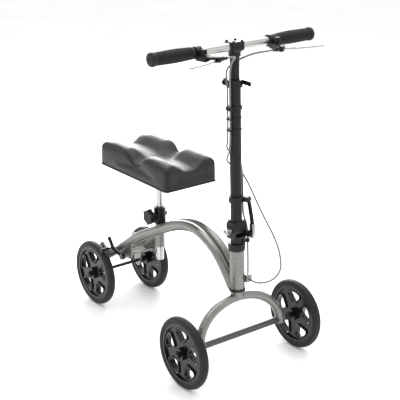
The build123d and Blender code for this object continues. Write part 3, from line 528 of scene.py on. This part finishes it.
class ScooterColours(bpy.types.PropertyGroup):
    """sRGB colours of each finish, as hex, the darker and the lighter end of its variation."""

    enamel_low: bpy.props.StringProperty(
        name="Enamel dark", description="Darker flake of the frame enamel", default="#6a6a67"
    )
    enamel_high: bpy.props.StringProperty(
        name="Enamel light", description="Brighter flake of the frame enamel", default="#9a9a96"
    )
    powder_low: bpy.props.StringProperty(
        name="Powder coat dark", description="Black powder coat", default="#0d0d0d"
    )
    powder_high: bpy.props.StringProperty(
        name="Powder coat light", description="Rubbed powder coat", default="#1a1a19"
    )
    chrome: bpy.props.StringProperty(
        name="Chrome", description="Plated levers, hook and seat post", default="#c2c2c0"
    )
    aluminium_low: bpy.props.StringProperty(
        name="Aluminium dark", description="Brush lines of the handlebar", default="#9a9a98"
    )
    aluminium_high: bpy.props.StringProperty(
        name="Aluminium light", description="Ground of the handlebar", default="#c8c8c5"
    )
    axle_low: bpy.props.StringProperty(
        name="Axle dark", description="Draw lines of the front axle tube", default="#3c3c3a"
    )
    axle_high: bpy.props.StringProperty(
        name="Axle light", description="Ground of the front axle tube", default="#5a5a57"
    )
    nylon_low: bpy.props.StringProperty(
        name="Nylon dark", description="Wheels and knobs", default="#0a0a0a"
    )
    nylon_high: bpy.props.StringProperty(
        name="Nylon light", description="Flow marks of wheels and knobs", default="#161616"
    )
    tyre_low: bpy.props.StringProperty(
        name="Tyre dark", description="Clean polyurethane", default="#121212"
    )
    tyre_high: bpy.props.StringProperty(
        name="Tyre light", description="Dusty polyurethane", default="#222221"
    )
    # the grips' two colours are painted shade in the grooves and a painted highlight on the raised
    # diamonds
    grip_low: bpy.props.StringProperty(
        name="Grip dark", description="Grooves of the grips", default="#0c0c0c"
    )
    grip_high: bpy.props.StringProperty(
        name="Grip light", description="Raised diamonds of the grips", default="#2b2b2a"
    )
    vinyl_low: bpy.props.StringProperty(
        name="Vinyl dark", description="Upholstery vinyl", default="#0e0e0e"
    )
    vinyl_high: bpy.props.StringProperty(
        name="Vinyl light", description="Stretched vinyl", default="#1c1c1b"
    )
    board_low: bpy.props.StringProperty(
        name="Board dark", description="Painted seat board", default="#11100f"
    )
    board_high: bpy.props.StringProperty(
        name="Board light", description="Grain of the seat board", default="#23211f"
    )
    sheath_low: bpy.props.StringProperty(
        name="Cable dark", description="Cable sheath", default="#5e5e5b"
    )
    sheath_high: bpy.props.StringProperty(
        name="Cable light", description="Cable sheath", default="#80807c"
    )
    paper_low: bpy.props.StringProperty(
        name="Paper dark", description="Studio floor", default="#f6f6f6"
    )
    paper_high: bpy.props.StringProperty(
        name="Paper light", description="Studio floor", default="#ffffff"
    )


class ScooterPad(bpy.types.PropertyGroup):
    """Sizes of the contoured knee pad."""

    trough_height: bpy.props.FloatProperty(
        name="Trough height", description="Foam left under the lengthwise trough",
        default=0.050, unit="LENGTH",
    )
    lobe_rise: bpy.props.FloatProperty(
        name="Lobe rise", description="How far the four lobes stand above the trough",
        default=0.027, unit="LENGTH",
    )
    corner_radius: bpy.props.FloatProperty(
        name="Corner radius", description="Radius of the pad's corners seen from above",
        default=0.010, unit="LENGTH",
    )
    waist: bpy.props.FloatProperty(
        name="Waist", description="How far each side pulls in between its corners",
        default=0.0005, unit="LENGTH",
    )
    voxel: bpy.props.FloatProperty(
        name="Mesh size", description="Size of the cloth mesh", default=0.0045, unit="LENGTH"
    )
    pressure: bpy.props.FloatProperty(
        name="Pressure", description="How hard the foam fills the cover", default=4.0
    )
    swell_cap: bpy.props.FloatProperty(
        name="Swell cap", description="Furthest that the cover may move as it fills",
        default=0.004, unit="LENGTH",
    )
    welt_radius: bpy.props.FloatProperty(
        name="Welt radius", description="Radius of the welt round the lower edge",
        default=0.0021, unit="LENGTH",
    )


class ScooterDetail(bpy.types.PropertyGroup):
    """Sizes of rubber, cables and weld beads."""

    cable_radius: bpy.props.FloatProperty(
        name="Cable radius", description="Outer radius of a brake cable",
        default=0.0025, unit="LENGTH",
    )
    bead_radius: bpy.props.FloatProperty(
        name="Weld bead", description="Half the width of a weld bead",
        default=0.0021, unit="LENGTH",
    )
    bead_pitch: bpy.props.FloatProperty(
        name="Weld ripple", description="Distance between the ripples of a weld bead",
        default=0.0032, unit="LENGTH",
    )
    grip_rib: bpy.props.FloatProperty(
        name="Grip rib", description="Height of the ribs round each grip",
        default=0.0006, unit="LENGTH",
    )


class ScooterStage(bpy.types.PropertyGroup):
    """Camera and light."""

    camera_turn: bpy.props.FloatProperty(
        name="Camera turn", description="Direction of the view, clockwise from straight ahead",
        default=math.radians(52.62), subtype="ANGLE",
    )
    camera_rise: bpy.props.FloatProperty(
        name="Camera rise", description="Height of the view above the horizon",
        default=math.radians(20.12), subtype="ANGLE",
    )
    camera_distance: bpy.props.FloatProperty(
        name="Camera distance", description="From the lens to the middle of the view",
        default=3.1066, unit="LENGTH",
    )
    camera_lens: bpy.props.FloatProperty(
        name="Lens", description="Focal length in millimetres", default=98.84
    )
    look_at: bpy.props.FloatVectorProperty(
        name="Look at", description="Middle of the view",
        default=(0.0932, 0.0122, 0.4318), subtype="TRANSLATION",
    )
    room_glow: bpy.props.FloatProperty(
        name="Room glow", description="Brightness of the room round the scooter", default=1.0
    )
    ceiling_power: bpy.props.FloatProperty(
        name="Ceiling light", description="Power of the large light overhead", default=45.0
    )
    back_power: bpy.props.FloatProperty(
        name="Back light", description="Power of the low light behind", default=110.0
    )
    fill_power: bpy.props.FloatProperty(
        name="Fill light", description="Power of the light from the front left", default=6.0
    )


# ------------------------------------------------------------------ finishes of the CAD nodes


class SCOOTER_OT_finish_frame(bpy.types.Operator):
    """Give every carried-over metal and plastic part its material"""

    bl_idname = "scooter.finish_frame"
    bl_label = "Finish metal and plastic"

    def execute(self, context):
        for part in frame["record"]["subparts"]:
            node = part["node"]
            mesh = frame["nodes"][node].data
            mesh.materials.clear()
            maker = OWN_FINISH.get(node, FINISHES[part["material_slot"]])
            mesh.materials.append(finish_for(maker))
        return {"FINISHED"}


# ------------------------------------------------------------------ knee pad


def pad_top(u, v, pad):
    """Height of the foam above the board's level at u along and v across, both -1 to 1."""
    along = (u + 1) / 2
    rear = 1 - ease(along, 0.38, 0.53)
    front = ease(along, 0.565, 0.69)
    ends = 0.86 + 0.14 * ease(along, 0.0, 0.2) * (1 - 0.6 * ease(along, 0.85, 1.0))
    lobes = ease(abs(v), 0.10, 0.66) * (rear + front) * ends
    valley = math.exp(-(((along - 0.545) / 0.10) ** 2))
    return pad.trough_height - 0.006 * valley + pad.lobe_rise * lobes


def rounded_plan(x, y, half_x, half_y, radius, waist):
    """Moves a point of the plain rectangle into the pad's outline."""
    over_x = max(0.0, (abs(x) - (half_x - radius)) / radius)
    over_y = max(0.0, (abs(y) - (half_y - radius)) / radius)
    if over_x > 0 and over_y > 0:
        scale = max(over_x, over_y) / math.hypot(over_x, over_y)
        x = math.copysign(half_x - radius + radius * over_x * scale, x)
        y = math.copysign(half_y - radius + radius * over_y * scale, y)
    pull_y = waist * (1 - (x / half_x) ** 2)
    pull_x = waist * 0.6 * (1 - (y / half_y) ** 2)
    return x * (1 - pull_x / half_x), y * (1 - pull_y / half_y)


# frames that the cover takes to settle
CLOTH_FRAMES = 20


class SCOOTER_OT_knee_pad(bpy.types.Operator):
    """Make the contoured vinyl knee pad, its welt and the lining under it"""

    bl_idname = "scooter.knee_pad"
    bl_label = "Knee pad"

    def outline(self, low, high, inset, z, pad, step=0.004):
        """Points round the pad's edge at one height."""
        half_x = (high.x - low.x) / 2 - inset
        half_y = (high.y - low.y) / 2 - inset
        middle = (low + high) / 2
        corners = [(-1, -1), (1, -1), (1, 1), (-1, 1)]
        points = []
        for (ax, ay), (bx, by) in zip(corners, corners[1:] + corners[:1]):
            for k in range(60):
                t = k / 60
                x = (ax + (bx - ax) * t) * half_x
                y = (ay + (by - ay) * t) * half_y
                x, y = rounded_plan(x, y, half_x, half_y, pad.corner_radius, pad.waist)
                points.append(Vector((middle.x + x, middle.y + y, z)))
        return spaced(points, step, closed=True)

    def foam(self, low, high, pad):
        """The foam block with its lobes, trough and valley, as vertices and faces."""
        inset = 0.0002
        half_x = (high.x - low.x) / 2 - inset
        half_y = (high.y - low.y) / 2 - inset
        middle = (low + high) / 2
        fine = [0.0, 0.008, 0.03, 0.065, 0.11, 0.165, 0.23]
        stops_x = [-1 + f * 0.5 for f in fine] + [-0.82 + 0.04 * k for k in range(42)]
        stops_x += [1 - f * 0.5 for f in reversed(fine)]
        stops_y = [-1 + f for f in fine] + [-0.69 + 0.06 * k for k in range(24)]
        stops_y += [1 - f for f in reversed(fine)]
        rows = []
        for u in stops_x:
            row = []
            for v in stops_y:
                top = pad_top(u, v, pad)
                lobe = (top - pad.trough_height + 0.006) / (pad.lobe_rise + 0.006)
                edge = min((1 - abs(u)) * half_x, (1 - abs(v)) * half_y)
                shoulder = 0.007 + 0.013 * max(0.0, lobe)
                inside = max(0.0, shoulder - edge)
                top -= shoulder - math.sqrt(max(0.0, shoulder**2 - inside**2))
                x, y = rounded_plan(
                    u * half_x, v * half_y, half_x, half_y, pad.corner_radius, pad.waist
                )
                row.append(Vector((middle.x + x, middle.y + y, low.z + top)))
            rows.append(row)
        long, wide = len(stops_x), len(stops_y)
        vertices = [p for row in rows for p in row]
        faces = []
        for i in range(long - 1):
            for j in range(wide - 1):
                a = i * wide + j
                faces.append((a, a + wide, a + wide + 1, a + 1))
        rim = [i * wide for i in range(long)]
        rim += [(long - 1) * wide + j for j in range(1, wide)]
        rim += [i * wide + wide - 1 for i in reversed(range(long - 1))]
        rim += [j for j in reversed(range(1, wide - 1))]
        layers = 7
        upper = rim
        for layer in range(1, layers + 1):
            lower = []
            for index in rim:
                top = vertices[index]
                share = layer / layers
                lower.append(len(vertices))
                vertices.append(Vector((top.x, top.y, top.z + (low.z + 0.001 - top.z) * share)))
            for k in range(len(rim)):
                n = (k + 1) % len(rim)
                faces.append((upper[k], upper[n], lower[n], lower[k]))
            upper = lower
        faces.append(tuple(upper))
        return vertices, [tuple(reversed(f)) for f in faces]

    def inflate(self, piece, low, pad):
        """Fill the cover by cloth pressure, with its lower edge held to the board."""
        remesh = piece.modifiers.new("Even mesh", "REMESH")
        remesh.mode = "VOXEL"
        remesh.voxel_size = pad.voxel
        remesh.use_smooth_shade = True
        self.apply(piece, remesh)
        rest = [v.co.copy() for v in piece.data.vertices]
        held = piece.vertex_groups.new(name="held to the board")
        for v in piece.data.vertices:
            above = v.co.z - low.z
            held.add([v.index], 1.0 - ease(above, 0.004, 0.016), "REPLACE")
        cloth = piece.modifiers.new("Cover", "CLOTH")
        cloth.settings.quality = 6
        cloth.settings.mass = 0.4
        cloth.settings.tension_stiffness = 18
        cloth.settings.compression_stiffness = 18
        cloth.settings.shear_stiffness = 12
        cloth.settings.bending_stiffness = 2.5
        cloth.settings.use_pressure = True
        cloth.settings.uniform_pressure_force = pad.pressure
        cloth.settings.effector_weights.gravity = 0
        cloth.settings.vertex_group_mass = held.name
        cloth.collision_settings.use_collision = False
        cloth.point_cache.frame_start = 1
        cloth.point_cache.frame_end = CLOTH_FRAMES
        scene = bpy.context.scene
        for step in range(1, CLOTH_FRAMES + 1):
            scene.frame_set(step)
        self.apply(piece, cloth)
        scene.frame_set(1)
        for v, start in zip(piece.data.vertices, rest):
            move = v.co - start
            if move.length > pad.swell_cap:
                v.co = start + move.normalized() * pad.swell_cap

    def apply(self, piece, modifier):
        """Apply one modifier of the piece."""
        with bpy.context.temp_override(object=piece, active_object=piece):
            bpy.ops.object.modifier_apply(modifier=modifier.name)

    def execute(self, context):
        pad = context.scene.scooter_pad
        low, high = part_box("knee_pad")
        vertices, faces = self.foam(low, high, pad)
        cover = new_piece("knee_pad_cover", vertices, faces, embossed_vinyl, "pad_vinyl", 180)
        self.inflate(cover, low, pad)
        smooth = cover.modifiers.new("Fine mesh", "SUBSURF")
        smooth.levels = smooth.render_levels = 1
        self.apply(cover, smooth)
        cover.data.shade_smooth()
        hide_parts("knee_pad")
        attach(cover, "seat")

        # a sewn welt closes the cover against the board
        line = self.outline(low, high, 0.0002, low.z + 0.0045, pad)
        vertices, faces = tube_mesh(line, [pad.welt_radius] * len(line), 12, closed=True)
        welt = new_piece("knee_pad_welt", vertices, faces, embossed_vinyl, "pad_vinyl", 180)
        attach(welt, "seat")

        # the vinyl turns under the board, and a thin lining covers its raw edge
        outer = self.outline(low, high, 0.006, low.z + 0.0008, pad)
        inner = self.outline(low, high, 0.030, low.z - 0.0002, pad)
        inner = [inner[k * len(inner) // len(outer)] for k in range(len(outer))]
        count = len(outer)
        faces = [(k, (k + 1) % count, count + (k + 1) % count, count + k) for k in range(count)]
        lining = new_piece(
            "knee_pad_turned_edge", outer + inner, faces, spun_bond_lining, "pad_vinyl", 180
        )
        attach(lining, "seat")
        return {"FINISHED"}


# ------------------------------------------------------------------ tyres and grips


# depth of the tyre from its crown to the rim that it sits on
TYRE_DEPTH = 0.0176


class SCOOTER_OT_tyres(bpy.types.Operator):
    """Make the four cast tyres, with a parting line and a groove in each wall"""

    bl_idname = "scooter.tyres"
    bl_label = "Tyres"

    def execute(self, context):
        for where in ("front", "rear"):
            for hand in ("right", "left"):
                node = f"{where}_tyre_{hand}"
                low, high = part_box(node)
                outer = (high.z - low.z) / 2
                half = (high.y - low.y) / 2
                seat = outer - TYRE_DEPTH
                profile = [(-half * 0.93, seat), (-half * 0.97, seat + 0.001)]
                profile += [(-half, seat + 0.003), (-half, seat + 0.0052)]
                profile += [(-half * 0.955, seat + 0.0058), (-half * 0.955, seat + 0.0068)]
                profile.append((-half, seat + 0.0075))
                for k in range(1, 16):
                    turn = math.pi / 2 * k / 16
                    along = -half * math.cos(turn) ** 0.85
                    lift = seat + 0.0075 + (outer - seat - 0.0080) * math.sin(turn) ** 0.9
                    profile.append((along, lift))
                crown = [(-0.0006, outer - 0.0004), (-0.00035, outer), (0.00035, outer)]
                profile += crown
                profile += [(-a, r) for a, r in reversed(profile[: -len(crown) + 1])]
                vertices, faces = turned_mesh(profile, (low + high) / 2, (0, 1, 0), 180)
                tyre = new_piece(
                    f"{where}_cast_tyre_{hand}", vertices, faces, cast_polyurethane,
                    "tyre_rubber", 34,
                )
                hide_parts(node)
                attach(tyre, f"{where}_wheel_{hand}")
        return {"FINISHED"}


# radius of the bore on the handlebar, and where each grip starts beside the brake perch
GRIP_BORE = 0.0112
GRIP_START = 0.1315


class SCOOTER_OT_grips(bpy.types.Operator):
    """Make the two moulded grips, barrelled and ribbed, each with an end cap"""

    bl_idname = "scooter.grips"
    bl_label = "Grips"

    def execute(self, context):
        rib = context.scene.scooter_detail.grip_rib
        low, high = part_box("grips")
        middle = (low + high) / 2
        radius = (high.z - low.z) / 2 - 0.0005
        bar, start = GRIP_BORE, GRIP_START
        end = high.y
        for hand, sign in (("right", -1), ("left", 1)):
            profile = [(start, bar), (start, radius - 0.0045), (start + 0.0015, radius - 0.0035)]
            # ribs round the sleeve, two millimetres apart, that fade at both ends
            length = end - 0.012 - (start + 0.006)
            count = int(length / 0.0005)
            for k in range(count + 1):
                along = start + 0.006 + length * k / count
                barrel = 0.0018 * ease(k / count, 0.0, 0.45) * (1 - 0.5 * ease(k / count, 0.5, 1))
                wave = rib * (0.5 + 0.5 * math.cos(math.tau * (along - start) / 0.002))
                fade = ease(k / count, 0.0, 0.04) * (1 - ease(k / count, 0.96, 1.0))
                profile.append((along, radius - 0.0028 + barrel + wave * fade))
            profile += [(end - 0.0115, radius - 0.0004), (end - 0.011, radius)]
            profile += [(end - 0.004, radius), (end - 0.0015, radius - 0.0012)]
            profile += [(end - 0.0004, radius - 0.0035), (end, radius - 0.007)]
            profile += [(end, 0.0045), (end - 0.0012, 0.0035), (end - 0.0012, 0.0002)]
            profile += [(end - 0.004, 0.0002), (end - 0.004, bar)]
            vertices, faces = turned_mesh(
                profile, (middle.x, 0, middle.z), (0, sign, 0), 72
            )
            grip = new_piece(
                f"moulded_grip_{hand}", vertices, faces, moulded_grip_rubber, "grip_rubber", 50
            )
            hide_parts("grips")
            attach(grip, "handle")
        return {"FINISHED"}


# ------------------------------------------------------------------ brake cables

# routes in mm beside the steering axis: forward, left, height
RIGHT_UPPER = [
    (63, -76, 891), (63, -52, 891), (45, -34, 884), (18, -28, 862), (8, -23.5, 826),
    (8, -23.5, 634), (-5, -24.5, 610), (-20, -15, 594), (-25, 2, 580), (-18, 20, 566),
    (-4, 31, 550), (9, 33, 532),
]
LEFT_UPPER = [
    (63, 76, 891), (63, 52, 891), (42, 34, 886), (8, 24, 872), (-15, 12, 858),
    (-20, -8, 845), (-9, -22.5, 830), (-2, -23.5, 806), (-2, -23.5, 656), (-14, -20, 636),
    (-24, -4, 618), (-19, 15, 600), (-6, 24.5, 580), (-2.5, 25, 548), (-2.5, 25, 465),
]
LEFT_HINGE = [(-2.5, 25, 465), (-2.5, 25, 443), (8, 25.5, 422), (17, 25, 402), (17, 25, 377)]
# routes in mm in the scooter's own frame
LOOP_UPPER = [(308, 39, 484), (335, 48, 438), (362, 56, 398), (381, 59.5, 362), (386, 60, 340)]
LOOP_LOWER = [
    (386, 60, 340), (391, 60.5, 318), (384, 55, 291), (364, 44, 268), (336, 32, 256),
    (318, 26, 256), (302, 26, 256),
]


class SCOOTER_OT_cables(bpy.types.Operator):
    """Make the brake cables, curving along their routes between the parts that they join"""

    bl_idname = "scooter.cables"
    bl_label = "Brake cables"

    def execute(self, context):
        radius = context.scene.scooter_detail.cable_radius
        loop_top = [on_stem(9, 33, 532), on_stem(22, 35, 514)]
        neck = [on_stem(17, 25, 366), on_stem(17, 25, 340)]
        neck += [Vector((297, 22, 305)) * MM, Vector((297, 22, 272)) * MM]
        # name, route, the two bodies that it joins, and where the bend starts and ends
        cables = [
            (
                "right_upper", [on_stem(*p) for p in RIGHT_UPPER],
                "handle", "column", on_stem(0, 0, 868), on_stem(0, 0, 752),
            ),
            (
                "left_upper", [on_stem(*p) for p in LEFT_UPPER],
                "handle", "column", on_stem(45, 40, 890), on_stem(-20, -15, 752),
            ),
            (
                "right_loop_upper", loop_top + [Vector(p) * MM for p in LOOP_UPPER],
                "column", "steering", loop_top[0], Vector(LOOP_UPPER[-1]) * MM,
            ),
            (
                "right_loop_lower", [Vector(p) * MM for p in LOOP_LOWER],
                "steering", "frame", Vector(LOOP_LOWER[0]) * MM, Vector(LOOP_LOWER[-1]) * MM,
            ),
            (
                "left_hinge", [on_stem(*p) for p in LEFT_HINGE],
                "column", "steering", on_stem(-2.5, 25, 462), on_stem(17, 25, 382),
            ),
            ("left_neck", neck, "steering", "frame", neck[0], neck[-1]),
        ]
        for name, route, first, second, start, end in cables:
            line = spaced(smooth_route(route), 0.004)
            vertices, faces = tube_mesh(line, [radius] * len(line), 14)
            cable = new_piece(
                f"brake_cable_{name}", vertices, faces, extruded_cable_sheath,
                "cable_sheath", 60,
            )
            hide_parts(f"cable_{name}")
            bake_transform(cable)

        # the bare inner wires, each pulled by its brake arm at the upper end
        for hand in ("right", "left"):
            low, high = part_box(f"brake_wire_{hand}")
            wire_radius = (high.y - low.y) / 2
            middle = (low.y + high.y) / 2
            arm_end = Vector((high.x - wire_radius, middle, high.z - wire_radius))
            stop_end = Vector((low.x + wire_radius, middle, low.z + wire_radius))
            line = [arm_end.lerp(stop_end, k / 16) for k in range(17)]
            vertices, faces = tube_mesh(line, [wire_radius] * len(line), 12)
            wire = new_piece(
                f"brake_inner_wire_{hand}", vertices, faces, drawn_steel_tube,
                "axle_steel", 60,
            )
            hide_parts(f"brake_wire_{hand}")
            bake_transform(wire)
        return {"FINISHED"}


# ------------------------------------------------------------------ weld beads


def seam_loops(node, other, reach=0.0006):
    """Closed sharp edge loops of one part that lie on another, as lists of points."""
    surface = bmesh.new()
    surface.from_mesh(frame["nodes"][other].data)
    tree = BVHTree.FromBMesh(surface)
    surface.free()
    part = bmesh.new()
    part.from_mesh(frame["nodes"][node].data)
    bmesh.ops.remove_doubles(part, verts=part.verts, dist=1e-5)
    near = set()
    for v in part.verts:
        found = tree.find_nearest(v.co)
        if found[3] is not None and found[3] < reach:
            near.add(v.index)
    links = {}
    for edge in part.edges:
        a, b = edge.verts
        if a.index in near and b.index in near and edge.calc_face_angle(0.0) > 0.45:
            links.setdefault(a.index, []).append(b.index)
            links.setdefault(b.index, []).append(a.index)
    places = {v.index: v.co.copy() for v in part.verts}
    part.free()
    loops, seen = [], set()
    for first in sorted(links):
        if first in seen:
            continue
        chain, here = [first], first
        seen.add(first)
        while True:
            following = [n for n in links[here] if n not in seen]
            if not following:
                break
            here = min(following)
            seen.add(here)
            chain.append(here)
        if len(chain) > 5:
            closed = chain[0] in links[here]
            loops.append(([places[k] for k in chain], closed))
    return loops


# the parts that are welded together, and the body that carries each bead
WELDS = [
    ("spine_tube_right", "head_tube", "frame"),
    ("spine_tube_left", "head_tube", "frame"),
    ("spine_tube_right", "seat_socket", "frame"),
    ("spine_tube_left", "seat_socket", "frame"),
    ("cross_brace", "spine_tube_right", "frame"),
    ("cross_brace", "spine_tube_left", "frame"),
    ("rear_brackets", "spine_tube_right", "frame"),
    ("rear_brackets", "spine_tube_left", "frame"),
    ("front_arch", "steerer", "steering"),
    ("front_arch", "front_axle_tube", "steering"),
]


# a bead is drawn with a ring this often, and a seam shorter than this has none
BEAD_STEP = 0.0011
SHORTEST_SEAM = 0.03


class SCOOTER_OT_weld_beads(bpy.types.Operator):
    """Lay a rippled weld bead along each welded joint of the frame"""

    bl_idname = "scooter.weld_beads"
    bl_label = "Weld beads"

    def execute(self, context):
        detail = context.scene.scooter_detail
        for node, other, body in WELDS:
            count = 0
            for points, closed in seam_loops(node, other):
                length = sum((b - a).length for a, b in zip(points, points[1:]))
                if length < SHORTEST_SEAM:
                    continue
                line = spaced(points, BEAD_STEP, closed)
                radii = []
                for k in range(len(line)):
                    phase = math.pi * k * BEAD_STEP / detail.bead_pitch
                    shake = noise.noise(line[k] * per_mm(9)) * 0.12
                    radii.append(detail.bead_radius * (0.86 + 0.22 * abs(math.sin(phase)) + shake))
                vertices, faces = tube_mesh(line, radii, 10, closed)
                count += 1
                bead = new_piece(
                    f"weld_{node}_{other}_{count}", vertices, faces,
                    sprayed_gunmetal_enamel, "frame_paint", 180,
                )
                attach(bead, body)
        return {"FINISHED"}


# ------------------------------------------------------------------ stage


class SCOOTER_OT_stage(bpy.types.Operator):
    """Lay the paper floor, hang the lights and place the camera"""

    bl_idname = "scooter.stage"
    bl_label = "Stage"

    def light(self, name, place, target, size, power):
        """A square soft light aimed at a point."""
        data = bpy.data.lights.new(name, "AREA")
        data.shape = "RECTANGLE"
        data.size, data.size_y = size
        data.energy = power
        lamp = bpy.data.objects.new(name, data)
        lamp.location = place
        lamp.rotation_mode = "QUATERNION"
        lamp.rotation_quaternion = (Vector(target) - Vector(place)).to_track_quat("-Z", "Y")
        lamp.visible_camera = False
        bpy.context.scene.collection.objects.link(lamp)

    def execute(self, context):
        stage = context.scene.scooter_stage
        half = 14.0  # half the width of the floor, in metres
        corners = [(-half, -half, 0), (half, -half, 0), (half, half, 0), (-half, half, 0)]
        floor = new_piece(
            "paper_floor", [Vector(c) for c in corners], [(0, 1, 2, 3)], studio_paper, "", 180
        )
        del floor["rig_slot"]

        world = bpy.data.worlds.new("white_studio")
        world.use_nodes = True
        world.node_tree.nodes.clear()
        tree = world.node_tree
        room = add_node(
            tree, "ShaderNodeBackground",
            {"Color": linear("#ffffff"), "Strength": stage.room_glow},
        )
        add_node(tree, "ShaderNodeOutputWorld", links={"Surface": (room, "Background")})
        context.scene.world = world

        aim = (0, 0, 0.45)
        self.light("ceiling_light", (-0.3, 0.2, 2.6), aim, (2.6, 2.6), stage.ceiling_power)
        self.light("back_light", (-2.5, 1.9, 1.5), aim, (2.6, 1.4), stage.back_power)
        self.light("front_fill", (2.8, 1.6, 1.8), aim, (1.2, 1.8), stage.fill_power)

        lens = bpy.data.cameras.new("catalogue_camera")
        lens.sensor_width = 36
        lens.lens = stage.camera_lens
        camera = bpy.data.objects.new("catalogue_camera", lens)
        turn, rise = stage.camera_turn, stage.camera_rise
        back = Vector(
            (math.sin(turn) * math.cos(rise), -math.cos(turn) * math.cos(rise), math.sin(rise))
        )
        camera.location = Vector(stage.look_at) + back * stage.camera_distance
        camera.rotation_mode = "QUATERNION"
        camera.rotation_quaternion = (-back).to_track_quat("-Z", "Y")
        context.scene.collection.objects.link(camera)
        context.scene.camera = camera
        context.scene.view_settings.view_transform = "Standard"
        return {"FINISHED"}


class SCOOTER_PT_panel(bpy.types.Panel):
    """Lists the scooter's pieces in the sidebar"""

    bl_idname = "SCOOTER_PT_panel"
    bl_label = "Knee Scooter"
    bl_space_type = "VIEW_3D"
    bl_region_type = "UI"
    bl_category = "Knee Scooter"

    def draw(self, context):
        for group in ("scooter_pad", "scooter_detail", "scooter_stage", "scooter_colours"):
            settings = getattr(context.scene, group)
            box = self.layout.box()
            for name in settings.__annotations__:
                box.prop(settings, name)
        for operator in OPERATORS:
            self.layout.operator(operator.bl_idname)


GROUPS = {
    "scooter_colours": ScooterColours,
    "scooter_pad": ScooterPad,
    "scooter_detail": ScooterDetail,
    "scooter_stage": ScooterStage,
}
OPERATORS = [
    SCOOTER_OT_finish_frame,
    SCOOTER_OT_knee_pad,
    SCOOTER_OT_tyres,
    SCOOTER_OT_grips,
    SCOOTER_OT_cables,
    SCOOTER_OT_weld_beads,
    SCOOTER_OT_stage,
]


def register():
    for kind in [*GROUPS.values(), *OPERATORS, SCOOTER_PT_panel]:
        bpy.utils.register_class(kind)
    for name, kind in GROUPS.items():
        setattr(bpy.types.Scene, name, bpy.props.PointerProperty(type=kind))


def unregister():
    for name in GROUPS:
        delattr(bpy.types.Scene, name)
    for kind in [SCOOTER_PT_panel, *reversed(OPERATORS), *GROUPS.values()]:
        bpy.utils.unregister_class(kind)


def main():
    register()
    bpy.ops.scooter.finish_frame()
    bpy.ops.scooter.knee_pad()
    bpy.ops.scooter.tyres()
    bpy.ops.scooter.grips()
    bpy.ops.scooter.cables()
    bpy.ops.scooter.weld_beads()
    bpy.ops.scooter.stage()


if __name__ == "__main__":
    main()
